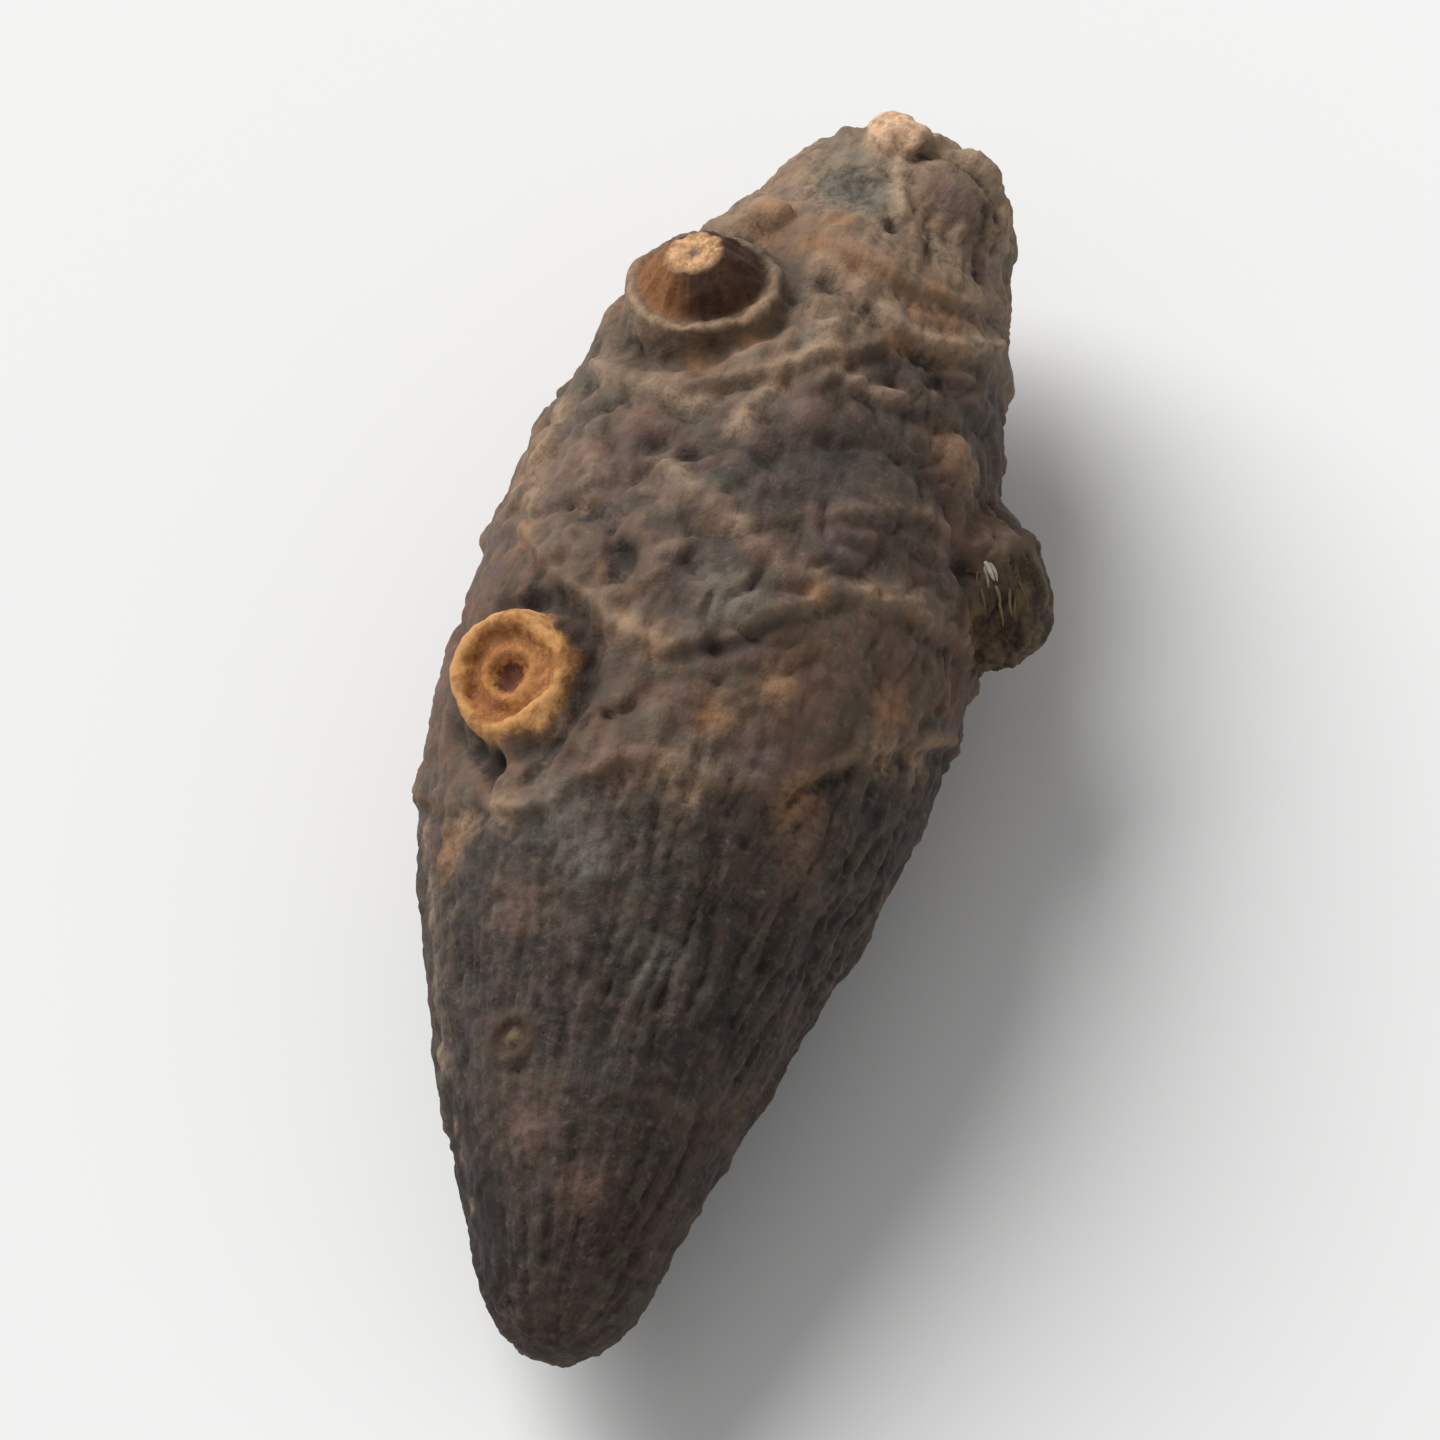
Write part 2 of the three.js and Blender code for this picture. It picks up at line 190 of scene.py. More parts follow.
# Stains, each with the seed of its frayed edge and its patches in the same form. Some of them are partly
# painted light and shade, as said at each.
STAINS = {
    "slate": (91, ((15.8, 63, 0.9),)),
    "rust": (71, (
        (20.9, 113, 0.6), (19.0, 138, 0.5), (17.3, 110, 0.25), (20.5, 93, 0.45), (20.2, 81, 0.42),
        (20.1, 70, 0.36), (19.8, 58, 0.32), (20.0, 48, 0.42), (7.8, 150, 0.42), (17.4, 36, 0.5),
        (3.4, 169, 0.12), (2.9, 165, 0.16), (11.3, 66, 0.38), (13.6, 140, 0.3), (14.8, 12, 0.4),
        (21.1, 92, 0.34), (20.4, 52, 0.34), (13.2, 64, 0.3), (10.4, 78, 0.34), (18.9, 62, 0.3),
        (9.6, 52, 0.5), (17.9, 98, 0.24), (12.0, 36, 0.4), (2.1, 167, 0.13), (8.2, 250, 0.5),
        (14.9, 214, 0.4), (21.8, 200, 0.5), (18.2, 300, 0.5), (23.4, 250, 0.4), (10.2, 336, 0.5),
    )),
    "rose": (73, (
        (14.2, 92, 0.4), (13.7, 80, 0.4), (13.5, 72, 0.34), (6.6, 117, 0.55), (16.6, 79, 0.36),
        (17.7, 57, 0.22), (8.8, 45, 0.6), (15.9, 117, 0.4), (22.3, 52, 0.45), (11.6, 110, 0.34),
        (20.6, 104, 0.35), (22.7, 66, 0.4), (15.2, 128, 0.4), (9.2, 100, 0.6), (16.0, 30, 0.5),
        (3.0, 110, 0.5), (2.2, 80, 0.45), (22.5, 136, 0.5), (17.3, 103, 0.32),
    )),
    # Along the left edge, at about 140 to 160 degrees, the tan patches are a painted highlight where the
    # skin faces the key light; elsewhere they are tan skin.
    "tan": (75, (
        (18.2, 79, 0.25), (17.3, 87, 0.26), (16.4, 92, 0.25), (13.6, 52, 0.32), (14.0, 40, 0.32),
        (11.3, 32, 0.42), (11.7, 19, 0.4), (18.0, 74, 0.3), (21.8, 61, 0.24), (9.3, 85, 0.3),
        (9.0, 77, 0.25), (16.6, 149, 0.4), (15.7, 149, 0.45), (14.7, 144, 0.4), (22.9, 30, 0.5),
        (23.5, 60, 0.35), (8.2, 143, 0.3), (8.3, 128, 0.3), (11.8, 104, 0.3), (11.4, 96, 0.28),
        (19.3, 52, 0.3), (19.4, 42, 0.3), (21.7, 66, 0.26), (16.2, 160, 0.4), (15.2, 158, 0.4),
        (23.3, 41, 0.32), (22.8, 37, 0.28), (22.2, 70, 0.24), (23.4, 72, 0.28), (20.4, 77, 0.28),
    )),
    # The dark patches are mostly painted shade: shadows beside the root scar's rim, under the collar, in
    # pits and at the right edge, with some darker skin among them.
    "dark": (77, (
        (12.2, 127, 0.4), (11.6, 116, 0.36), (10.5, 109, 0.36), (12.4, 140, 0.3), (9.3, 124, 0.25),
        (17.5, 118, 0.34), (17.5, 107, 0.34), (18.0, 98, 0.25), (15.5, 24, 0.24), (14.5, 22, 0.2),
        (15.9, 84, 0.3), (16.2, 68, 0.3), (17.2, 73, 0.2), (13.1, 110, 0.26), (11.5, 81, 0.26),
        (11.4, 91, 0.24), (15.2, 110, 0.24), (22.2, 43, 0.3), (21.5, 37, 0.3), (18.3, 62, 0.3),
        (19.2, 30, 0.3), (20.1, 64, 0.2), (11.0, 150, 0.4), (10.2, 150, 0.35), (21.4, 72, 0.14),
        (18.0, 145, 0.5), (17.2, 130, 0.4), (20.2, 95, 0.32), (19.9, 105, 0.28), (17.7, 100, 0.28),
        (18.1, 96, 0.25), (19.4, 89, 0.22), (17.0, 107, 0.26), (10.9, 103, 0.33), (9.9, 97, 0.33),
        (9.3, 109, 0.36), (17.1, 7, 0.4), (13.8, 6, 0.4),
    )),
    "plum": (79, (
        (15.6, 115, 0.5), (13.4, 147, 0.5), (14.2, 152, 0.4), (22.6, 63, 0.32), (22.3, 55, 0.3),
        (16.7, 79, 0.28), (14.4, 63, 0.4), (9.9, 60, 0.5),
    )),
    # The ash patches on the tapered top, 6 to 9 millimetres from the tip, are a painted reflection of the
    # pale room; the others are paler grey-green skin.
    "ash": (83, (
        (12.5, 82, 0.42), (13.0, 90, 0.26), (21.8, 98, 0.5), (22.0, 87, 0.4), (12.9, 65, 0.24),
        (19.9, 70, 0.24), (19.4, 59, 0.24), (18.2, 84, 0.24), (17.6, 98, 0.24), (8.4, 110, 0.6),
        (7.6, 100, 0.5), (6.2, 72, 0.5), (23.0, 98, 0.4), (22.9, 108, 0.4), (21.6, 88, 0.4),
        (22.2, 106, 0.45),
    )),
}
# Streaks of warm dust down the sides: how wide, then the places that each one runs through.
DUST_STREAKS = (
    (0.55, ((8.2, 158), (6.5, 160), (5.0, 162), (3.6, 163), (2.2, 160))),
    (0.4, ((17.6, 156), (16.2, 158), (14.8, 156), (13.4, 154))),
    (0.4, ((18.6, 318), (17.2, 326), (15.4, 330))),
    (0.5, ((10.4, 214), (8.6, 220), (6.2, 222))),
    (0.5, ((9.0, 95), (8.8, 82), (8.6, 68), (8.9, 52), (9.3, 40))),
)
# Dry fibres that lie on the side bud: thickness, paleness, then the points in millimetres that
# each one runs through, from the bud's foot.
FIBRES = (
    (0.11, 0.75, ((-0.02, 0.1, 1.26), (0.08, 0.0, 1.25), (0.15, -0.12, 1.2), (0.24, -0.2, 1.13))),
    (0.08, 0.6, ((0.06, 0.1, 1.25), (0.15, 0.02, 1.23), (0.24, -0.08, 1.19), (0.28, -0.2, 1.13))),
    (0.07, 0.35, ((0.0, 0.0, 1.25), (0.04, -0.1, 1.23), (0.13, -0.24, 1.17), (0.16, -0.36, 1.1))),
    (0.08, 0.12, ((0.26, -0.26, 1.12), (0.36, -0.38, 1.05), (0.45, -0.56, 0.96))),
    (0.07, 0.05, ((0.4, -0.5, 0.99), (0.5, -0.68, 0.86), (0.56, -0.84, 0.73))),
    (0.07, 0.1, ((0.5, -0.22, 1.06), (0.6, -0.42, 0.98), (0.68, -0.64, 0.82))),
    (0.06, 0.0, ((0.68, -0.3, 0.98), (0.74, -0.5, 0.88), (0.76, -0.72, 0.7))),
    (0.06, 0.08, ((0.03, -0.38, 1.11), (0.14, -0.55, 1.0), (0.24, -0.76, 0.84))),
    (0.05, 0.0, ((0.6, 0.02, 0.98), (0.78, -0.1, 0.9), (0.92, -0.32, 0.76))),
    (0.05, 0.05, ((-0.1, -0.1, 1.22), (-0.08, -0.28, 1.14), (0.0, -0.48, 1.04))),
)


# ---------------------------------------------------------------- curves
def curve_value(points, x):
    """Value at x of the smooth curve through (x, value) points. x may be a number or an array."""
    xs, ys = np.array(points, float).T
    last = len(xs) - 1
    slopes = np.empty(last + 1)
    for i in range(last + 1):
        a, b = max(0, i - 1), min(last, i + 1)
        slopes[i] = (ys[b] - ys[a]) / (xs[b] - xs[a])
    x = np.asarray(x, float)
    k = np.clip(np.searchsorted(xs, x) - 1, 0, last - 1)
    gap = xs[k + 1] - xs[k]
    u = np.clip((x - xs[k]) / gap, 0, 1)
    ease = u * u * (3 - 2 * u)
    bow = gap * u * (1 - u) * (slopes[k] * (1 - u) - slopes[k + 1] * u)
    return ys[k] + (ys[k + 1] - ys[k]) * ease + bow


def ring_distance(ring, angle):
    """Distance of a leaf-scar ring from the tip at an angle, in radians."""
    values = np.array(ring, float)
    count = len(values)
    turn = (angle / (2 * math.pi)) % 1 * count
    k = np.floor(turn).astype(int)
    u = turn - k
    a, b, c, d = (values[(k + i) % count] for i in (-1, 0, 1, 2))
    return b + 0.5 * u * (c - a + u * (2 * a - 5 * b + 4 * c - d + u * (3 * (b - c) + d - a)))


def smooth_step(x, low, high):
    """0 below low, 1 above high, and a soft ramp between."""
    u = np.clip((x - low) / (high - low), 0, 1)
    return u * u * (3 - 2 * u)


def bump(x, width):
    """1 at x = 0, falling softly to 0 over a width."""
    return np.exp(-((x / width) ** 2))


def ridges(away, rows):
    """Height of ridges and furrows at these distances: distance, half width, height."""
    return sum(height * bump(away - distance, width) for distance, width, height in rows)


# ---------------------------------------------------------------- places on the rhizome
def outline(distance, shape):
    """Middle of the body and its half width and half height there, all in millimetres."""
    length = shape.length / MM
    share = distance / length
    tip = 1 - np.clip(distance / TIP_ROUNDING, 0, 1)
    crown = 1 - np.clip((length - distance) / CROWN_ROUNDING, 0, 1)
    wide = np.sqrt(1 - tip**2) * np.sqrt(1 - crown**2)
    half_width = shape.width / MM / 2 * curve_value(HALF_WIDTHS, share) * wide
    half_height = shape.height / MM / 2 * curve_value(HALF_HEIGHTS, share) * wide
    x = SOLID_TIP.x / MM - SIDEWAYS[0][1] + curve_value(SIDEWAYS, share)
    y = SOLID_TIP.y / MM + distance
    z = SOLID_TIP.z / MM - LIFT[0][1] + curve_value(LIFT, share)
    return x, y, z, half_width, half_height


def on_skin(place, shape):
    """Point on the body's skin, in millimetres."""
    distance, degrees = place
    x, y, z, half_width, half_height = outline(distance, shape)
    angle = math.radians(degrees)
    return Vector((x + half_width * math.cos(angle), y, z + half_height * math.sin(angle)))


# ---------------------------------------------------------------- modelling helpers, in millimetres
def clear_selection():
    """Leaves edit mode and deselects everything."""
    if bpy.context.mode != "OBJECT":
        bpy.ops.object.mode_set(mode="OBJECT")
    bpy.ops.object.select_all(action="DESELECT")


def pick(*pieces):
    """Selects these objects alone, with the first one active."""
    clear_selection()
    for piece in pieces:
        piece.select_set(True)
    bpy.context.view_layer.objects.active = pieces[0]


def apply_place():
    """Moves the active object's place, turn and size into its mesh."""
    bpy.ops.object.transform_apply(location=True, rotation=True, scale=True)


def start_disc(name, sides, radius, centre, turn=(0, 0, 0)):
    """Adds a filled disc and opens it in edit mode with all of it selected."""
    clear_selection()
    bpy.ops.mesh.primitive_circle_add(
        vertices=sides, radius=radius * MM, fill_type="NGON", location=Vector(centre) * MM, rotation=turn)
    piece = bpy.context.active_object
    piece.name = name
    apply_place()
    bpy.ops.object.mode_set(mode="EDIT")
    bpy.ops.mesh.select_all(action="SELECT")
    return piece


def extrude_on(centre, next_centre, grow):
    """Extrudes the selected face from one centre to the next and scales it there."""
    step = (Vector(next_centre) - Vector(centre)) * MM
    bpy.ops.mesh.extrude_region_move(TRANSFORM_OT_translate={"value": step})
    bpy.ops.transform.resize(value=grow, center_override=Vector(next_centre) * MM)


def face_outwards():
    """Turns the faces of the mesh being edited outwards and leaves edit mode."""
    bpy.ops.mesh.select_all(action="SELECT")
    bpy.ops.mesh.normals_make_consistent(inside=False)
    bpy.ops.object.mode_set(mode="OBJECT")


def raise_rings(name, profile, sides, foot, lean):
    """Extrudes a disc through (radius, height) steps, then leans and places it."""
    radius, height = profile[0]
    piece = start_disc(name, sides, radius, (0, 0, height))
    for next_radius, next_height in profile[1:]:
        grow = next_radius / radius
        extrude_on((0, 0, height), (0, 0, next_height), (grow, grow, 1))
        radius, height = next_radius, next_height
    face_outwards()
    piece.rotation_mode = "QUATERNION"
    piece.rotation_quaternion = Vector((0, 0, 1)).rotation_difference(lean.normalized())
    piece.location = foot * MM
    apply_place()


def draw_strand(spots, radius):
    """Extrudes a thin round strand through these spots, tapered at both ends."""
    lean = Vector((0, 0, 1)).rotation_difference((spots[-1] - spots[0]).normalized())
    strand = start_disc("fibre", STRAND_SIDES, STRAND_WIDTHS[0] * radius, spots[0], lean.to_euler())
    first, second, middle, last = STRAND_WIDTHS
    widths = [first, second] + [middle] * (len(spots) - 2) + [last]
    stops = [spots[0], spots[0].lerp(spots[1], 0.25), *spots[1:]]
    for i in range(len(widths) - 1):
        grow = widths[i + 1] / widths[i]
        extrude_on(stops[i], stops[i + 1], (grow, grow, grow))
    face_outwards()
    return strand


def join_pieces(name, pieces):
    """Joins these objects into one piece."""
    pick(*pieces)
    bpy.ops.object.join()
    joined = bpy.context.active_object
    joined.name = name
    joined.data.name = name
    return joined


def apply_modifier(piece, kind, **settings):
    """Adds a modifier with these settings and applies it."""
    pick(piece)
    bpy.ops.object.modifier_add(type=kind)
    modifier = piece.modifiers[-1]
    for setting, value in settings.items():
        setattr(modifier, setting, value)
    bpy.ops.object.modifier_apply(modifier=modifier.name)


# ---------------------------------------------------------------- noise
# Noise is read on turned axes, so that its grid never lines up with the body, and each seed
# reads it in another place.
NOISE_TURN = np.array(Euler((0.61, 0.83, 0.37)).to_matrix())
SEED_STEP = np.array((13.7, 7.3, 3.1))


def soft_noise(points, size, seed):
    """Soft noise from -1 to 1 at each point, with lumps of about this size in millimetres."""
    spots = (points / size) @ NOISE_TURN + seed * SEED_STEP
    return np.array([noise.noise(spot) for spot in spots.tolist()])


def cell_noise(points, size, seed):
    """Distances to the nearest and the next cell point, in cells of this size."""
    spots = (points / size) @ NOISE_TURN + seed * SEED_STEP
    return np.array([noise.voronoi(spot)[0][:2] for spot in spots.tolist()]).T


def read_vectors(items, name):
    """A mesh's vectors as an array with one row for each."""
    values = np.empty(len(items) * 3)
    items.foreach_get(name, values)
    return values.reshape(-1, 3)


class Skin:
    """The bark's vertices in millimetres, with where each one lies along and round the body."""

    # Patterns that run along the body are read on a cylinder of about the belly's radius.
    PATTERN_RADIUS = 4.2
    # How many places are looked at between two places of a run.
    STOPS_IN_STRETCH = 8

    def __init__(self, mesh, shape):
        self.points = read_vectors(mesh.vertices, "co")
        self.normals = read_vectors(mesh.vertex_normals, "vector")
        self.shape = shape
        end = shape.length / MM - 0.05
        self.along = np.clip(self.points[:, 1] - SOLID_TIP.y / MM, 0.05, end)
        x, _, z, self.half_width, half_height = outline(self.along, shape)
        across = (self.points[:, 0] - x) / self.half_width
        upward = (self.points[:, 2] - z) / half_height
        self.angle = np.arctan2(upward, across)
        self.off_top = smooth_step(np.abs(self.angle - math.radians(95)), 0.9, 1.5)
        self.height = np.zeros(len(self.points))
        self.marks = {}
        self.rough = self.noise(0.35, 61)
        self.fine = self.noise(0.14, 62)
        self.stub_points = self.round_axis(STUB_PLACE, STUB_LEAN, 1.1, 4.0)
        ribs = np.array(SIDE_BUD_RIBS.normalized())
        self.rib_points = self.points - 0.85 * (self.points @ ribs)[:, None] * ribs

    def noise(self, size, seed):
        """Soft noise at each vertex."""
        return soft_noise(self.points, size, seed)

    def round_body(self, stretch, warp=0.0, seed=0.0, radius=PATTERN_RADIUS):
        """Points on a cylinder, so that a pattern follows the body without a seam."""
        angle = self.angle
        if warp:
            base = self.round_body(1.0, radius=2.0)
            angle = angle + warp * soft_noise(base, 2.4, seed + 5)
            angle = angle + 0.4 * warp * soft_noise(base, 0.9, seed + 6)
        return np.stack((radius * np.cos(angle), radius * np.sin(angle), self.along / stretch), 1)

    def round_axis(self, place, lean, radius, stretch):
        """Points on a cylinder round an axis, so that a pattern runs up what grows there."""
        along = np.array(lean.normalized())
        across = np.array(lean.normalized().orthogonal().normalized())
        other = np.cross(along, across)
        offset = self.points - np.array(on_skin(place, self.shape))
        turn = np.arctan2(offset @ other, offset @ across)
        return np.stack((radius * np.cos(turn), radius * np.sin(turn), offset @ along / stretch), 1)

    def from_axis(self, place, lean):
        """Distance from an axis that stands on the skin, and the height along it."""
        axis = np.array(lean.normalized())
        offset = self.points - np.array(on_skin(place, self.shape))
        height = offset @ axis
        return np.linalg.norm(offset - height[:, None] * axis, axis=1), height

    def from_place(self, along, degrees):
        """Distance from a place on the skin, wherever the buds and scars have carried it."""
        turn = np.angle(np.exp(1j * (self.angle - math.radians(degrees))))
        spot = self.points[np.argmin((self.along - along) ** 2 + (3 * turn) ** 2)]
        return np.linalg.norm(self.points - spot, axis=1)

    def from_run(self, run):
        """Distance from a line that runs through these places on the skin."""
        away = np.full(len(self.points), np.inf)
        for start, end in zip(np.array(run, float), np.array(run[1:], float)):
            for share in np.linspace(0, 1, self.STOPS_IN_STRETCH):
                away = np.minimum(away, self.from_place(*(start + share * (end - start))))
        return away

    def past_ring(self, ring):
        """Distance from a leaf-scar ring, towards the crown."""
        return self.along - ring_distance(ring, self.angle)

    def raise_mark(self, name, share):
        """Marks the vertices at least this strongly."""
        self.marks[name] = np.maximum(self.marks.get(name, 0), share)

    def take_height(self):
        """Hands over the height worked so far and starts again from nothing."""
        height, self.height = self.height, np.zeros(len(self.points))
        return height


# ---------------------------------------------------------------- bark relief
def zone_shares(skin, fray_depth, blend):
    """How much each vertex belongs to the skin between two rings, from the tip to the crown."""
    fray = fray_depth * skin.noise(0.9, 14)
    fray = fray + 0.4 * fray_depth * skin.noise(0.3, 15)
    fray = fray + 1.5 * fray_depth * skin.off_top * skin.noise(2.6, 16)
    past = [smooth_step(skin.past_ring(ring) + fray, -blend, blend) for ring in ZONE_RINGS]
    return {name: before * (1 - after) for name, before, after in zip(ZONES, [1, *past], [*past, 0])}


def mix_zones(zone, shares):
    """Adds up the zones, each by its share."""
    return sum(share * zone[name] for name, share in zip(ZONES, shares))


def shape_wrinkles(skin, zone):
    """Presses in the lengthwise wrinkles, clear on the tapered half and faint elsewhere."""
    fine = soft_noise(skin.round_body(8.0, 0.1, 1), 0.46, 31)
    finer = soft_noise(skin.round_body(6.0, 0.12, 2), 0.25, 32)
    broad = soft_noise(skin.round_body(4.5, 0.1, 3), 1.3, 33)
    crease = bump(fine, 0.16) + 0.5 * bump(finer, 0.22) + 0.8 * bump(broad, 0.09)
    swell = 0.7 * np.abs(fine) + 0.4 * np.abs(finer) + 0.7 * np.abs(broad)
    share = mix_zones(zone, (0.85, 0.3, 0.18, 0.4, 0.7))
    share = share + skin.off_top * mix_zones(zone, (0, 0.55, 0.55, 0.55, 0.5))
    patchy = np.clip(0.75 + 0.8 * skin.noise(2.2, 34), 0.25, 1.3)
    thickness = np.clip(skin.half_width / 4.0, 0.45, 1)
    depth = skin.shape.wrinkle_depth / MM
    skin.height += depth * share * patchy * thickness * (swell - 0.7 * crease)


def shape_lumps(skin, zone):
    """Crumples the skin between the upper rings into soft lumps with creases between them."""
    bend = np.stack([skin.noise(0.8, seed) for seed in (41, 42, 43)], 1)
    bent = skin.points + 0.3 * bend
    near, following = cell_noise(bent * np.array((1, 0.85, 1)), 1.05, 44)
    cells = (0.45 - near) - 0.35 * bump(following - near, 0.14)
    large = soft_noise(bent, 1.35, 47)
    small = soft_noise(bent, 0.62, 48)
    fine = soft_noise(bent, 0.27, 49)
    crumple = 1.3 * np.abs(large) + 0.65 * np.abs(small) + 0.18 * fine
    crumple = crumple - 0.3 * bump(large, 0.09) - 0.2 * bump(small, 0.12)
    patchy = np.clip(0.8 + 0.7 * skin.noise(1.7, 46), 0.3, 1.3)
    share = mix_zones(zone, (0.26, 0.62, 1, 0.5, 0.42)) + 0.35 * skin.off_top * zone["crown"]
    height = skin.shape.lump_height / MM
    skin.height += height * patchy * share * (0.6 * cells + crumple)
    skin.height += 0.3 * height * (1 - share) * (0.6 * np.abs(small) + 0.8 * fine)


def shape_rings(skin):
    """Raises the leaf-scar rings: a worn, broken lip with a crease on its tipward side."""
    ring_height = skin.shape.ring_height / MM
    wobble_at = skin.round_body(3.0, radius=1.6)
    notches = soft_noise(skin.round_body(9.0, 0.05, 7), 0.42, 21)
    quiet_side = 1 - 0.6 * bump(skin.angle - math.radians(160), 0.45)
    for seed, (ring, strength) in enumerate(RINGS, 1):
        wobble = 0.26 * soft_noise(wobble_at, 0.75, seed) + 0.1 * soft_noise(wobble_at, 0.22, seed)
        away = skin.past_ring(ring) - wobble
        patch = np.clip(0.62 + 1.0 * soft_noise(wobble_at, 0.55, seed + 20), 0.08, 1.25)
        patch = patch * np.clip(0.85 + 0.7 * notches, 0.4, 1.2)
        strength = strength * quiet_side
        lip = np.where(away < 0, bump(away, 0.12), bump(away, 0.28))
        shoulder = np.where(away < 0, bump(away, 0.16), bump(away, 0.95))
        crease = bump(away + 0.3, 0.2)
        skin.height += strength * ring_height * (0.6 * patch * lip + 0.35 * shoulder - 0.3 * crease)
        skin.raise_mark("crest", np.minimum(strength * patch * bump(away - 0.03, 0.16), 1))


def shape_folds(skin):
    """Adds the separate folds, lumps and pits that stand out from the rest of the skin."""
    jitter = 0.09 * skin.noise(0.4, 81)
    broken = np.clip(0.75 + 0.9 * skin.noise(0.6, 82), 0.2, 1.3)
    for height, reach, run in FOLDS:
        line = broken * bump(skin.from_run(run) + jitter, reach)
        skin.height += height * line
        if height > 0:
            below = skin.from_run([(along - 0.34, angle) for along, angle in run]) + jitter
            skin.height -= 0.5 * height * bump(below, 0.8 * reach)
            skin.raise_mark("worn", np.minimum(height / 0.15 * line, 1))
        else:
            # Sunken folds are marked for dirt and painted shade in the groove.
            skin.raise_mark("groove_dirt_and_shade", np.minimum(-height / 0.12 * line, 1))
    for along, degrees, reach, height in LUMPS:
        away = skin.from_place(along, degrees) + 0.8 * jitter
        skin.height += 1.4 * height * bump(away, 0.85 * reach)


def shape_grain(skin):
    """Adds slow unevenness to the whole body and a fine grain to its skin."""
    fibres = soft_noise(skin.round_body(3.5, 0.05, 4), 0.17, 53)
    skin.height += 0.14 * skin.noise(3.0, 51) + 0.07 * skin.noise(1.25, 52)
    skin.height += 0.02 * fibres + 0.022 * skin.noise(0.19, 54)


def shape_root_scar(skin):
    """Works the corky rings of the large root scar, and returns where it lies."""
    away, up = skin.from_axis(ROOT_SCAR_PLACE, ROOT_SCAR_LEAN)
    slow = skin.noise(0.8, 64)
    away = away / ROOT_SCAR_SPREAD + 0.12 * slow + 0.08 * skin.rough + 0.02 * skin.fine
    here = smooth_step(up, -0.75, -0.35)
    cork = here * (1 - smooth_step(away, 1.1, 1.2))
    broken = np.clip(0.7 + 1.3 * slow, 0.1, 1.3)
    skin.height += here * ridges(away, ((1.44, 0.2, -0.2), (0.95, 0.16, 0.06), (0.05, 0.2, -0.12)))
    skin.height += here * broken * ridges(away, ((0.7, 0.11, -0.09), (0.45, 0.1, 0.05)))
    skin.height += cork * (0.06 * skin.rough + 0.035 * skin.fine)
    skin.marks["scar"] = here * (1 - smooth_step(away, 1.08, 1.22))
    skin.marks["scar_way"] = np.clip((away + 0.1 * skin.rough) / 1.25, 0, 1)
    return skin.marks["scar"]


def shape_small_scars(skin):
    """Works the small root scars and the broken ends, and returns where they lie."""
    away, up = skin.from_axis(LOWER_SCAR_PLACE, LOWER_SCAR_LEAN)
    away = away + 0.05 * skin.rough
    near = smooth_step(up, -0.6, -0.3)
    skin.height += near * ridges(away, ((0.4, 0.1, 0.05), (0.22, 0.09, -0.09)))
    skin.raise_mark("lower_scar", near * (1 - smooth_step(away, 0.42, 0.56)))
    skin.raise_mark("lower_scar_heart", near * (1 - smooth_step(away, 0.1, 0.22)))
    for place in SMALL_SCARS:
        away = skin.from_place(*place) + 0.08 * skin.rough
        skin.height += ridges(away, ((0.38, 0.13, 0.1), (0.2, 0.1, -0.1), (0.62, 0.14, -0.1)))
        skin.raise_mark("lower_scar", 1 - smooth_step(away, 0.36, 0.54))
        skin.raise_mark("lower_scar_heart", 1 - smooth_step(away, 0.1, 0.2))
    for along, reach in BROKEN_ENDS:
        away = skin.from_place(along, 270) + 0.14 * skin.rough
        dish = 1 - smooth_step(away, 0.75 * reach, reach)
        skin.height += 0.15 * reach * bump(away - reach, 0.16)
        skin.height -= reach * dish * (0.19 + 0.12 * np.abs(skin.rough))
        skin.height += reach * dish * (0.07 * skin.fine + 0.07 * bump(away - 0.45 * reach, 0.1))
        skin.raise_mark("lower_scar", 0.8 * dish)
    return skin.marks["lower_scar"]


def shape_stub(skin):
    """Works the stub's ridges and the groove under its collar, marks its painted light and shade, and
    returns where the stub lies.
    """
    rough, fine = skin.rough, skin.fine
    away, up = skin.from_axis(STUB_PLACE, COLLAR_LEAN)
    away = away + 0.03 * rough
    above = smooth_step(up, COLLAR_RISE - 0.02, COLLAR_RISE + 0.1)
    on_stub = above * (1 - smooth_step(away, 1.12, 1.2))
    # Painted highlight: the collar's pale lip is marked on its front only, where it catches the light; its
    # back keeps the dark skin as painted shade.
    front = smooth_step(skin.along, STUB_PLACE[0] + 0.9, STUB_PLACE[0] - 0.1)
    below = smooth_step(up, -0.9, -0.4)
    skin.height -= below * 0.17 * bump(away - 1.6, 0.18)
    # Painted shadow: a dark band on the skin just below the collar.
    skin.raise_mark("dark", 0.9 * below * bump(away - 1.66, 0.2))
    lip = bump(away - COLLAR_RADIUS - 0.02, 0.11)
    skin.marks["collar"] = front * smooth_step(up, 0.22, 0.36) * lip
    grooves = soft_noise(skin.stub_points, 0.2, 63)
    skin.height += on_stub * (0.04 * rough + 0.06 * np.abs(grooves) - 0.035 * bump(grooves, 0.15))
    away, up = skin.from_axis(STUB_PLACE, STUB_LEAN)
    end = smooth_step(up + 0.05 * rough, 0.97, 1.04) * (1 - smooth_step(away + 0.06 * rough, 0.47, 0.56))
    skin.marks["stub"] = on_stub * (1 - end)
    skin.marks["stub_end"] = end * smooth_step(away + 0.04 * fine, 0.04, 0.17)
    # Painted light and shade: the stub's side to the left and towards the tip, which faces the key light,
    # is marked to be painted paler; the rest is painted dark.
    lit_way = (skin.points - np.array(on_skin(STUB_PLACE, skin.shape))) @ np.array((-0.86, -0.5, 0.0))
    skin.marks["stub_light"] = smooth_step(lit_way + 0.12 * rough, 0.1, 0.9)
    return np.maximum(on_stub, end)


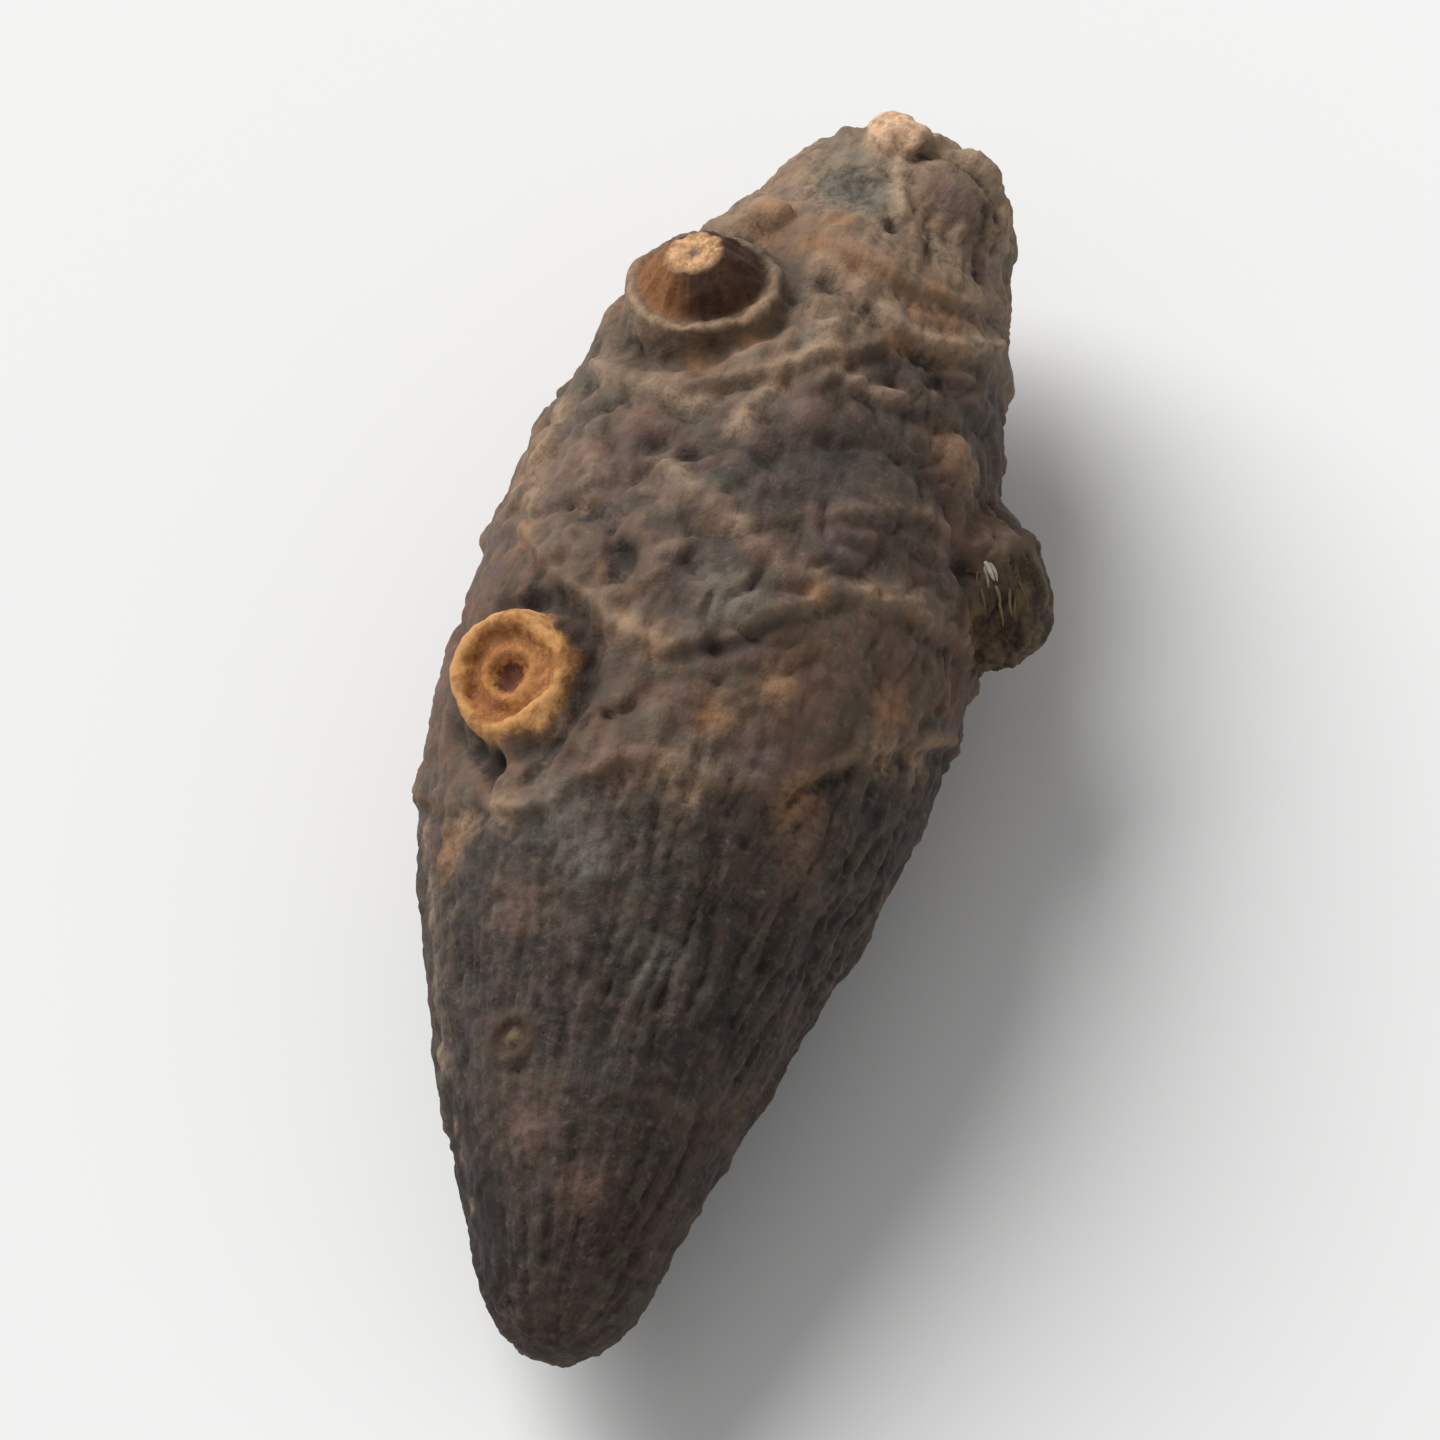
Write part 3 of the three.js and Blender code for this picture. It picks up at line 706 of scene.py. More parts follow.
def shape_buds(skin):
    """Works the ribs of the side bud, marks the small buds, and returns where the side bud lies."""
    away, up = skin.from_axis(SIDE_BUD_PLACE, SIDE_BUD_LEAN)
    on_bud = smooth_step(up + 0.15 * skin.rough, 0.1, 0.45) * (1 - smooth_step(away, 1.3, 1.6))
    ribs = soft_noise(skin.rib_points, 0.22, 65)
    skin.height += on_bud * (0.09 * np.abs(ribs) - 0.07 * bump(ribs, 0.2) + 0.05 * skin.rough)
    skin.marks["side_bud"] = on_bud
    for place, reach, paleness in ((CROWN_BUD_PLACE, 0.6, 1.0), (STUB_BUD_PLACE, 0.46, 0.15)):
        gap = skin.from_place(*place) + 0.06 * skin.rough
        skin.raise_mark("bud", paleness * (1 - smooth_step(gap, 0.6 * reach, 1.3 * reach)))
    return on_bud


def patches(skin, table, seed):
    """How much each vertex lies in one of these frayed patches."""
    fray = 0.16 * skin.noise(0.35, seed) + 0.1 * skin.noise(0.14, seed + 1)
    return np.maximum.reduce([
        bump(np.maximum(skin.from_place(along, degrees) + fray, 0), reach)
        for along, degrees, reach in table])


def streaks(skin):
    """How much each vertex lies in one of the frayed dust streaks."""
    fray = 0.2 * soft_noise(skin.round_body(4.0, 0.05, 12), 0.3, 85)
    return np.maximum.reduce([
        bump(np.maximum(skin.from_run(run) + fray, 0), reach) for reach, run in DUST_STREAKS])


def mark_colours(skin):
    """Marks the zones, the dust with the painted light on the left side, and the stains for colouring."""
    zone = zone_shares(skin, fray_depth=0.7, blend=0.85)
    # Painted shade: the belly's dark stain is strongest on top and to the right, away from the key light.
    zone["belly"] *= 0.3 + 0.7 * smooth_step(np.abs(skin.angle - 1.1), 1.15, 0.5)
    # The paler skin of the crown fades towards the underside.
    fading = 1 - 0.6 * smooth_step(-np.sin(skin.angle), -0.1, 0.7)
    zone["neck"] *= fading
    zone["crown"] *= fading
    skin.marks.update(zone)
    skin.marks["tip"] = 1 - smooth_step(skin.along, 2.2, 4.0)
    # Painted light: the left side, which faces the key light, is painted paler and warmer; the streaks are
    # real dust.
    painted_light_left = 0.8 * smooth_step(np.abs(skin.angle - 2.45), 0.9, 0.4)
    skin.marks["dust_and_painted_light"] = painted_light_left * (zone["belly"] + 0.35 * zone["waist"])
    skin.raise_mark("dust_and_painted_light", streaks(skin))
    for name, (seed, table) in STAINS.items():
        skin.raise_mark(name, patches(skin, table, seed))


def press_underside(points):
    """Rests the body on its flattened underside, without letting it go below the surface."""
    soft = 0.22
    low = points[:, 2]
    low = np.where(low > soft, low, soft * np.exp((low - soft) / soft))
    points[:, 2] = low - low.min()
    return points


# ---------------------------------------------------------------- materials
class Paint:
    """A node material whose colour is laid on coat by coat."""

    def __init__(self, name):
        self.material = bpy.data.materials.new(name)
        self.material.use_nodes = True
        self.tree = self.material.node_tree
        self.shader = self.tree.nodes["Principled BSDF"]
        self.colour = None

    def wire(self, node, inputs):
        """Sets a node's inputs, or links them where they are given as sockets."""
        for name, value in inputs.items():
            socket = node.inputs[name]
            if isinstance(value, bpy.types.NodeSocket):
                self.tree.links.new(value, socket)
            else:
                socket.default_value = (*value, 1) if socket.type == "RGBA" else value

    def node(self, kind, label, inputs, **settings):
        """Adds a node with a label, these settings and these inputs."""
        made = self.tree.nodes.new(kind)
        made.label = label
        for setting, value in settings.items():
            setattr(made, setting, value)
        self.wire(made, inputs)
        return made

    def attribute(self, name):
        """One of the mesh's attributes."""
        return self.node("ShaderNodeAttribute", name, {}, attribute_name=name)

    def mark(self, name):
        """The value of one of the mesh's marks."""
        return self.attribute(name).outputs["Fac"]

    def place(self):
        """The place on the object."""
        return self.node("ShaderNodeTexCoord", "place", {}).outputs["Object"]

    def noise(self, label, vector, scale, detail=3.0, roughness=0.55, distortion=0.0):
        """A noise texture's value."""
        inputs = {"Vector": vector, "Scale": scale, "Detail": detail, "Roughness": roughness,
                  "Distortion": distortion}
        return self.node("ShaderNodeTexNoise", label, inputs).outputs["Fac"]

    def remap(self, label, value, low, high, to_low=0.0, to_high=1.0):
        """A value's range, clamped and moved to another range."""
        inputs = {"Value": value, "From Min": low, "From Max": high, "To Min": to_low, "To Max": to_high}
        made = self.node("ShaderNodeMapRange", label, inputs, interpolation_type="SMOOTHSTEP")
        return made.outputs["Result"]

    def combine(self, label, operation, first, second):
        """Two values put through a math node."""
        made = self.node("ShaderNodeMath", label, {0: first, 1: second}, operation=operation)
        return made.outputs["Value"]

    def blend(self, label, share, first, second):
        """Two colours mixed by a share."""
        made = self.node("ShaderNodeMix", label, {0: share, 6: first, 7: second}, data_type="RGBA")
        return made.outputs[2]

    def coat(self, label, share, colour):
        """Lays a colour over the coats so far by a share."""
        self.colour = self.blend(label, share, self.colour, colour)

    def wash(self, label, field, low, high, strength, colour):
        """Lays a colour on more and more strongly as a field goes from low to high."""
        self.coat(label, self.remap(label + " share", field, low, high, 0.0, strength), colour)

    def stain(self, name, colour, strength, breakup):
        """Lays a colour on where a mark says so, broken up by a noise."""
        share = self.combine(name + " share", "MULTIPLY", self.mark(name), breakup)
        self.coat(name, self.combine(name + " strength", "MULTIPLY", share, strength), colour)


def bark_material(colours):
    """Dry grey-brown bark, darkened in its creases with dirt and painted shade, with tan scars and a brown
    stub.
    """
    paint = Paint("dry_bark")
    scale = {"Vector": paint.place(), "Scale": (1 / MM, 1 / MM, 1 / MM)}
    spot = paint.node("ShaderNodeMapping", "place in millimetres", scale).outputs["Vector"]
    grain = paint.attribute("grain").outputs["Vector"]
    cloud = paint.noise("slow patches", spot, 0.42)
    drift = paint.noise("warm and cool drift", spot, 0.85, 2.0, 0.5, 0.6)
    rusty = paint.noise("rusty flecks", spot, 1.25, 4.0, 0.62, 0.5)
    mottle = paint.noise("mottling", spot, 1.5, 4.0, 0.6, 0.4)
    blotch = paint.noise("blotches", spot, 2.6, 3.0, 0.6, 0.6)
    speck = paint.noise("specks", spot, 6.5, 4.0, 0.65)
    streak = paint.noise("fibre streaks", grain, 2.6, 3.0, 0.6)
    uneven = paint.combine("uneven relief", "ADD", paint.mark("relief"),
                           paint.remap("speck share", speck, 0.3, 0.7, -0.12, 0.12))
    broken = paint.remap("broken stain", speck, 0.32, 0.6, 0.35)
    soft = paint.combine("softly broken stain", "MULTIPLY",
                         paint.remap("soft patches", mottle, 0.32, 0.58, 0.45),
                         paint.remap("soft specks", speck, 0.3, 0.6, 0.7))

    # The ground colours, from the tip to the crown.
    paint.colour = paint.blend("grey or brown", paint.remap("grey share", cloud, 0.4, 0.62),
                               colours.brown_bark, colours.grey_bark)
    paint.stain("waist", colours.brown_bark, 0.75, broken)
    # The belly's dark stain is darker skin, and painted shade where it is strongest, on top and to the
    # right.
    paint.stain("belly", colours.dark_bark, 0.75, broken)
    paint.stain("neck", colours.pale_bark, 0.65, soft)
    paint.stain("crown", colours.pale_bark, 1.0, soft)
    # Painted light on the left side, and real dust in the streaks.
    paint.stain("dust_and_painted_light", colours.dust_and_painted_light, 0.72, broken)
    paint.wash("cool drift", drift, 0.5, 0.36, 0.45, colours.moss_grey)
    paint.wash("warm drift", drift, 0.5, 0.64, 0.4, colours.rose_bark)
    paint.stain("tapered", colours.dark_bark, 1.0, paint.remap("dark share", mottle, 0.3, 0.62, 0.55))
    paint.stain("tip", colours.tip_bark, 0.7, broken)
    paint.stain("slate", colours.slate, 0.7, paint.remap("slate share", mottle, 0.35, 0.6, 0.5))

    # Blotches, flecks and streaks all over, then the creases and the worn tops.
    paint.wash("green-grey blotches", blotch, 0.52, 0.64, 0.5, colours.moss_grey)
    paint.wash("plum blotches", blotch, 0.46, 0.34, 0.5, colours.plum_grey)
    off_taper = paint.remap("rust above the taper", paint.mark("tapered"), 0.0, 1.0, 1.0, 0.35)
    rusty = paint.remap("rusty range", rusty, 0.58, 0.72, 0.0, 0.24)
    paint.coat("rusted", paint.combine("rusty share", "MULTIPLY", rusty, off_taper), colours.rust_bark)
    paint.wash("streaked", streak, 0.5, 0.75, 0.22, colours.dusty_crest)
    paint.wash("flecked", speck, 0.56, 0.72, 0.3, colours.dusty_crest)
    # The creases are darkened with dirt and painted shade.
    paint.wash("creases", uneven, 0.5, 0.1, 0.85, colours.crease)
    paint.wash("worn tops", uneven, 0.62, 1.05, 0.5, colours.dusty_crest)

    # Stains and marks in their own places, some of them painted light and shade.
    paint.stain("plum", colours.plum_grey, 0.75, broken)
    paint.stain("ash", colours.ash_grey, 0.7, broken)
    # The dark patches are mostly painted shade.
    paint.stain("dark", colours.crease, 0.75, broken)
    paint.stain("groove_dirt_and_shade", colours.crease, 0.7, broken)
    paint.stain("worn", colours.worn_fold, 0.7, broken)
    paint.stain("tan", colours.ring_crest, 0.75, broken)
    paint.stain("rose", colours.rose_bark, 0.55, broken)
    paint.stain("rust", colours.rust_bark, 0.85, broken)
    paint.stain("crest", colours.ring_crest, 0.55, paint.remap("broken crest", mottle, 0.35, 0.6, 0.1))
    # The collar's pale front lip is a painted highlight.
    paint.stain("collar", colours.ring_crest, 0.9, broken)
    paint.stain("bud", colours.bud, 0.85, broken)
    paint.stain("lower_scar", colours.small_scar, 0.85, broken)
    paint.stain("lower_scar_heart", colours.small_scar_heart, 0.9, broken)
    ribs = paint.remap("rib share", paint.noise("bud ribs", grain, 3.2, 2.0, 0.6), 0.42, 0.62)
    ribbed = paint.blend("ribbed bud", ribs, colours.bud_shade, colours.bud_rib)
    paint.stain("side_bud", ribbed, 0.85, broken)

    # The root scar's cork, in rings from its middle outwards.
    crumbled = paint.combine("crumbled rings", "ADD", paint.mark("scar_way"),
                             paint.remap("crumble", speck, 0.3, 0.7, -0.09, 0.09))
    rings = paint.node("ShaderNodeValToRGB", "cork rings", {"Fac": crumbled})
    ramp = rings.color_ramp.elements
    stops = (
        (0.0, colours.scar_heart), (0.13, colours.scar_heart), (0.26, colours.scar_rim_shade),
        (0.38, colours.scar_rim_shade), (0.5, colours.scar_furrow), (0.62, colours.scar_rim_shade),
        (0.74, colours.scar_rim), (0.86, colours.scar_rim), (0.97, colours.scar_furrow),
    )
    for index, (position, colour) in enumerate(stops):
        if index >= len(ramp):
            ramp.new(position)
        ramp[index].position = position
        ramp[index].color = (*colour, 1)
    cork = paint.blend("dark cork", paint.remap("dark cork share", blotch, 0.5, 0.66, 0.0, 0.6),
                       rings.outputs["Color"], colours.scar_furrow)
    paint.coat("scar", paint.mark("scar"), cork)

    # The stub, streaked, with painted light on its side towards the key light and painted shade on its
    # other side, and its broken end.
    lit = paint.combine("stub side", "ADD", paint.mark("stub_light"),
                        paint.remap("stub streaks", streak, 0.36, 0.66, -0.16, 0.22))
    stub = paint.blend("streaked stub", paint.remap("stub share", lit, 0.0, 1.0),
                       colours.stub_shade, colours.stub)
    stub = paint.blend("mottled stub", paint.remap("stub mottle", speck, 0.5, 0.68, 0.0, 0.45),
                       stub, colours.stub_shade)
    paint.coat("stub", paint.mark("stub"), stub)
    end = paint.blend("mottled end", paint.remap("end share", speck, 0.4, 0.62),
                      colours.stub_end_shade, colours.stub_end)
    paint.coat("stub end", paint.mark("stub_end"), end)

    pores = paint.noise("pores", spot, 9.0, 5.0, 0.65)
    fibres = paint.noise("fibres", grain, 7.0, 3.0, 0.6)
    fibres = paint.combine("fibre height", "MULTIPLY", fibres, 0.6)
    surface = paint.combine("fine surface", "ADD", pores, fibres)
    bumps = paint.node("ShaderNodeBump", "fine bump",
                       {"Strength": 0.6, "Distance": 0.05 * MM, "Height": surface})
    paint.wire(paint.shader, {
        "Base Color": paint.colour,
        "Roughness": paint.remap("roughness", mottle, 0.3, 0.7, 0.6, 0.84),
        "Specular IOR Level": 0.2,
        "Sheen Weight": 0.03,
        "Sheen Roughness": 0.5,
        "Normal": bumps.outputs["Normal"],
    })
    return paint.material


def fibre_material(colours):
    """Pale dry fibre."""
    paint = Paint("pale_fibre")
    tint = paint.noise("fibre tint", paint.place(), 6 / MM, 2.0)
    paint.colour = paint.blend("fibre", paint.mark("paleness"), colours.fibre_shade, colours.fibre)
    paint.wash("stained fibre", tint, 0.45, 0.65, 0.5, colours.fibre_shade)
    paint.wire(paint.shader, {"Base Color": paint.colour, "Roughness": 0.8, "Specular IOR Level": 0.2})
    return paint.material


def floor_material(colour):
    """Plain matt floor."""
    paint = Paint("pale_floor")
    paint.wire(paint.shader, {"Base Color": colour, "Roughness": 0.9})
    return paint.material


# ---------------------------------------------------------------- settings
def size_setting(name, description, default, low, high):
    """A length that a user may change, given in millimetres."""
    return bpy.props.FloatProperty(
        name=name, description=description, default=default * MM, min=low * MM, max=high * MM,
        precision=5, subtype="DISTANCE", unit="LENGTH")


def colour_setting(name, description, *default):
    """A colour that a user may change."""
    return bpy.props.FloatVectorProperty(
        name=name, description=description, default=default, size=3, min=0.0, max=1.0, subtype="COLOR")


def plain_setting(name, description, default, low, high):
    """A plain number that a user may change."""
    return bpy.props.FloatProperty(
        name=name, description=description, default=default, min=low, max=high, subtype="NONE",
        unit="NONE")


def angle_setting(name, description, degrees):
    """An angle that a user may change, given in degrees."""
    return bpy.props.FloatProperty(
        name=name, description=description, default=math.radians(degrees), subtype="ANGLE",
        unit="ROTATION")


class RhizomeShape(bpy.types.PropertyGroup):
    """Sizes of the rhizome and of its bark's relief"""

    length: size_setting("Length", "From the narrow tip to the crown", (SOLID_HIGH - SOLID_LOW).y / MM,
                         15, 45)
    width: size_setting("Width", "Across the belly", 8.9, 4, 16)
    height: size_setting("Height", "Through the belly, before its underside is flattened", 8.1, 4, 15)
    ring_height: size_setting("Ring Height", "How far the leaf-scar rings stand out", 0.2, 0, 1)
    wrinkle_depth: size_setting("Wrinkle Depth", "Depth of the lengthwise wrinkles", 0.13, 0, 1)
    lump_height: size_setting("Lump Height", "Height of the lumps between the upper rings", 0.2, 0, 1)
    skin_step: size_setting("Skin Step", "Size of the bark's mesh faces", 0.089, 0.06, 0.5)


class RhizomeColours(bpy.types.PropertyGroup):
    """Colours of the bark, the scars and the stub"""

    brown_bark: colour_setting("Brown Bark", "Brown parts of the bark", 0.118, 0.064, 0.039)
    grey_bark: colour_setting("Grey Bark", "Grey parts of the bark", 0.092, 0.073, 0.062)
    pale_bark: colour_setting("Pale Bark", "Paler skin at the crown", 0.32, 0.222, 0.142)
    dark_bark: colour_setting("Dark Bark", "Darker skin towards the tip", 0.037, 0.029, 0.025)
    tip_bark: colour_setting("Tip Bark", "Reddish dark skin at the tip", 0.06, 0.037, 0.028)
    slate: colour_setting("Slate", "Smooth grey patches", 0.085, 0.075, 0.07)
    moss_grey: colour_setting("Moss Grey", "Greenish grey blotches", 0.08, 0.074, 0.052)
    plum_grey: colour_setting("Plum Grey", "Purplish grey blotches", 0.1, 0.068, 0.068)
    ash_grey: colour_setting("Ash Grey", "Paler grey-green patches", 0.17, 0.155, 0.125)
    rust_bark: colour_setting("Rust", "Rusty patches", 0.3, 0.155, 0.075)
    rose_bark: colour_setting("Rose", "Pinkish brown patches", 0.2, 0.112, 0.08)
    crease: colour_setting("Crease", "Dirt and shade in the creases", 0.022, 0.017, 0.014)
    dusty_crest: colour_setting("Dusty Crest", "Worn tops of the wrinkles", 0.22, 0.155, 0.11)
    worn_fold: colour_setting("Worn Fold", "Worn tops of the separate folds", 0.44, 0.305, 0.205)
    # This colour is painted light on the left side, which faces the key light, and warm dust in the
    # streaks.
    dust_and_painted_light: colour_setting("Dust", "Warm dust on the left side", 0.19, 0.104, 0.058)
    ring_crest: colour_setting("Ring Crest", "Lips of the leaf-scar rings", 0.35, 0.225, 0.135)
    scar_rim: colour_setting("Scar Rim", "Corky rim of the root scar", 0.54, 0.28, 0.1)
    scar_rim_shade: colour_setting("Scar Rim Shade", "Darker cork", 0.44, 0.19, 0.06)
    scar_furrow: colour_setting("Scar Furrow", "Brown furrows in the cork", 0.25, 0.095, 0.032)
    scar_heart: colour_setting("Scar Heart", "Dark red middle of the scar", 0.11, 0.036, 0.022)
    small_scar: colour_setting("Small Scar", "Dark brown of the small root scars", 0.055, 0.031, 0.016)
    small_scar_heart: colour_setting("Small Scar Heart", "Golden middle of the small root scars",
                                     0.17, 0.115, 0.055)
    # Stub is the painted lit side of the stub; Stub Shade is painted shade on its side away from the light,
    # and also its dark streaks and mottling.
    stub: colour_setting("Stub", "Sides of the stem stub", 0.235, 0.1, 0.038)
    stub_shade: colour_setting("Stub Shade", "Dark streaks on the stub", 0.048, 0.02, 0.01)
    stub_end: colour_setting("Stub End", "Broken end of the stub", 0.64, 0.385, 0.2)
    stub_end_shade: colour_setting("Stub End Shade", "Darker fibres in the broken end", 0.4, 0.215, 0.1)
    bud: colour_setting("Bud", "Small dry buds", 0.8, 0.5, 0.31)
    bud_rib: colour_setting("Bud Rib", "Olive tan ribs of the side bud", 0.13, 0.088, 0.042)
    bud_shade: colour_setting("Bud Shade", "Dark grooves of the side bud", 0.03, 0.019, 0.011)
    fibre: colour_setting("Fibre", "Pale dry fibre", 0.6, 0.55, 0.46)
    fibre_shade: colour_setting("Fibre Shade", "Olive yellow fibre", 0.15, 0.1, 0.035)


class RhizomeStage(bpy.types.PropertyGroup):
    """Floor, light and camera"""

    floor: colour_setting("Floor", "Pale floor", 0.86, 0.86, 0.855)
    key_light: plain_setting("Key Light", "Strength of the main soft light", 3.3, 0, 20)
    fill_light: plain_setting("Fill Light", "Strength of the even light from all round", 0.37, 0, 5)
    azimuth: angle_setting("Camera Azimuth", "Way round from the tip's side", 14.5)
    elevation: angle_setting("Camera Elevation", "Height of the camera above the floor's level", 60)
    lens: plain_setting("Lens", "Focal length in millimetres", 500, 20, 1000)
    shown: size_setting("Shown", "Width of floor that the picture takes in", 25.2, 10, 200)


# ---------------------------------------------------------------- operators
class RHIZOME_OT_grow_body(bpy.types.Operator):
    """Extrude the spindle from its tip to its crown and flatten its underside"""

    bl_idname = "rhizome.grow_body"
    bl_label = "Grow Body"

    def execute(self, context):
        shape = context.scene.rhizome_shape
        length = shape.length / MM
        middle = np.linspace(MIDDLE_SECTIONS[0], length - MIDDLE_SECTIONS[1], MIDDLE_SECTIONS[2])
        distances = [*END_SECTIONS, *middle, *(length - gap for gap in reversed(END_SECTIONS))]
        sections = [outline(distance, shape) for distance in distances]
        *centre, wide, high = sections[0]
        start_disc("body", BODY_SIDES, wide, centre, (math.radians(90), 0, 0))
        bpy.ops.transform.resize(value=(1, 1, high / wide), center_override=Vector(centre) * MM)
        for *next_centre, next_wide, next_high in sections[1:]:
            extrude_on(centre, next_centre, (next_wide / wide, 1, next_high / high))
            centre, wide, high = next_centre, next_wide, next_high
        bpy.ops.mesh.select_all(action="SELECT")
        bpy.ops.mesh.bisect(
            plane_co=(0, 0, SOLID_LOW.z), plane_no=(0, 0, 1), use_fill=True, clear_inner=True)
        face_outwards()
        return {"FINISHED"}


class RHIZOME_OT_grow_stub(bpy.types.Operator):
    """Raise the broken stem stub on its mound, with the collar round its foot"""

    bl_idname = "rhizome.grow_stub"
    bl_label = "Grow Stem Stub"

    def execute(self, context):
        foot = on_skin(STUB_PLACE, context.scene.rhizome_shape)
        raise_rings("mound", MOUND, STUB_SIDES, foot, COLLAR_LEAN)
        raise_rings("stub", STUB_CONE + STUB_HOLLOW, STUB_SIDES, foot, STUB_LEAN)
        way = COLLAR_LEAN.normalized()
        clear_selection()
        bpy.ops.mesh.primitive_torus_add(
            major_radius=COLLAR_RADIUS * MM, minor_radius=COLLAR_THICKNESS * MM,
            major_segments=COLLAR_SEGMENTS[0], minor_segments=COLLAR_SEGMENTS[1],
            location=(foot + way * COLLAR_RISE) * MM,
            rotation=Vector((0, 0, 1)).rotation_difference(way).to_euler())
        context.active_object.name = "collar"
        apply_place()
        return {"FINISHED"}


class RHIZOME_OT_grow_scars(bpy.types.Operator):
    """Raise the round root scar with its rim and dish, and the small scar near the tip"""

    bl_idname = "rhizome.grow_scars"
    bl_label = "Grow Root Scars"

    def execute(self, context):
        shape = context.scene.rhizome_shape
        spread = [(radius * ROOT_SCAR_SPREAD, height) for radius, height in ROOT_SCAR]
        foot = on_skin(ROOT_SCAR_PLACE, shape)
        raise_rings("root_scar", spread, STUB_SIDES, foot, ROOT_SCAR_LEAN)
        foot = on_skin(LOWER_SCAR_PLACE, shape)
        raise_rings("lower_scar", LOWER_SCAR, LOWER_SCAR_SIDES, foot, LOWER_SCAR_LEAN)
        return {"FINISHED"}


class RHIZOME_OT_grow_buds(bpy.types.Operator):
    """Raise the side bud, the crown's lobe and the two small buds"""

    bl_idname = "rhizome.grow_buds"
    bl_label = "Grow Buds"

    def execute(self, context):
        shape = context.scene.rhizome_shape
        buds = (
            ("side_bud", SIDE_BUD, BUD_SIDES, SIDE_BUD_PLACE, SIDE_BUD_LEAN),
            ("crown_lobe", CROWN_LOBE, BUD_SIDES, CROWN_LOBE_PLACE, CROWN_LOBE_LEAN),
            ("crown_bud", CROWN_BUD, SMALL_BUD_SIDES, CROWN_BUD_PLACE, CROWN_BUD_LEAN),
            ("stub_bud", STUB_BUD, SMALL_BUD_SIDES, STUB_BUD_PLACE, STUB_BUD_LEAN),
        )
        for name, profile, sides, place, lean in buds:
            raise_rings(name, profile, sides, on_skin(place, shape), lean)
        return {"FINISHED"}


class RHIZOME_OT_join_skin(bpy.types.Operator):
    """Join everything that grew into one closed skin"""

    bl_idname = "rhizome.join_skin"
    bl_label = "Join Skin"

    def execute(self, context):
        names = ("body", "mound", "stub", "collar", "root_scar", "lower_scar", "side_bud", "crown_lobe",
                 "crown_bud", "stub_bud")
        bark = join_pieces(BARK, [bpy.data.objects[name] for name in names])
        # The remesher's finest step is a tenth of a millimetre, so it works at a thousand times the size.
        bark.scale = (1 / MM, 1 / MM, 1 / MM)
        apply_place()
        step = context.scene.rhizome_shape.skin_step / MM
        apply_modifier(bark, "REMESH", mode="VOXEL", voxel_size=step)
        apply_modifier(bark, "SMOOTH", factor=0.5, iterations=5)
        return {"FINISHED"}


class RHIZOME_OT_shape_bark(bpy.types.Operator):
    """Work the rings, wrinkles, lumps and scars into the skin, and mark it for colouring"""

    bl_idname = "rhizome.shape_bark"
    bl_label = "Shape Bark"

    def execute(self, context):
        bark = bpy.data.objects[BARK]
        skin = Skin(bark.data, context.scene.rhizome_shape)
        zone = zone_shares(skin, fray_depth=0.25, blend=0.35)
        # Where scars, stub and buds lie, the rest of the relief stays calm.
        calm = np.maximum.reduce([
            shape_root_scar(skin), shape_small_scars(skin), shape_stub(skin), 0.7 * shape_buds(skin)])
        worked = skin.take_height()
        shape_wrinkles(skin, zone)
        shape_lumps(skin, zone)
        skin.height *= 1 - 0.75 * patches(skin, SMOOTH_PATCHES, 91)
        shape_rings(skin)
        shape_folds(skin)
        detail = skin.take_height() * (1 - 0.9 * calm)
        shape_grain(skin)
        total = worked + detail + skin.height * (1 - 0.7 * calm)
        points = press_underside(skin.points + skin.normals * total[:, None])
        bark.data.vertices.foreach_set("co", points.ravel() * MM)
        bark.data.update()
        # The relief mark guides the dirt and painted shade in the creases and the paler worn tops.
        skin.marks["relief"] = np.clip(0.5 + (detail + 0.6 * worked) / 0.4, 0, 1)
        mark_colours(skin)
        for name, values in skin.marks.items():
            mark = bark.data.attributes.new(name, "FLOAT", "POINT")
            mark.data.foreach_set("value", values.astype(np.float32))
        fibres = skin.round_body(6.0, 0.06, 9)
        fibres = np.where(skin.marks["side_bud"][:, None] > 0.05, skin.rib_points, fibres)
        fibres = np.where(skin.marks["stub"][:, None] > 0.02, skin.stub_points, fibres)
        grain = bark.data.attributes.new("grain", "FLOAT_VECTOR", "POINT")
        grain.data.foreach_set("vector", fibres.astype(np.float32).ravel())
        pick(bark)
        bpy.ops.object.shade_smooth()
        return {"FINISHED"}


class RHIZOME_OT_lay_fibres(bpy.types.Operator):
    """Lay the pale dry fibres on the side bud"""

    bl_idname = "rhizome.lay_fibres"
    bl_label = "Lay Fibres"

    def execute(self, context):
        bark = bpy.data.objects[BARK]
        foot = on_skin(SIDE_BUD_PLACE, context.scene.rhizome_shape)
        strands = []
        for thickness, paleness, run in FIBRES:
            spots = []
            for offset in run:
                found, spot, normal, _ = bark.closest_point_on_mesh((foot + Vector(offset)) * MM)
                if not found:
                    raise RuntimeError("The bark has no surface under a fibre")
                spots.append(spot / MM + normal * thickness * 0.12)
            strand = draw_strand(spots, thickness / 2)
            tint = strand.data.attributes.new("paleness", "FLOAT", "POINT")
            tint.data.foreach_set("value", [paleness] * len(strand.data.vertices))
            strands.append(strand)
        fibres = join_pieces(FIBRE_TUFT, strands)
        apply_modifier(fibres, "SUBSURF", levels=2, render_levels=2)
        bpy.ops.object.shade_smooth()
        return {"FINISHED"}


class RHIZOME_OT_colour_pieces(bpy.types.Operator):
    """Give each piece its material and its place in the frame"""

    bl_idname = "rhizome.colour_pieces"
    bl_label = "Colour Pieces"

    def execute(self, context):
        colours = context.scene.rhizome_colours
        bark = bpy.data.objects[BARK]
        fibres = bpy.data.objects[FIBRE_TUFT]
        for piece, material in ((bark, bark_material(colours)), (fibres, fibre_material(colours))):
            piece.data.materials.clear()
            piece.data.materials.append(material)
            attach(piece, "root")
        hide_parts(SOLID)
        return {"FINISHED"}


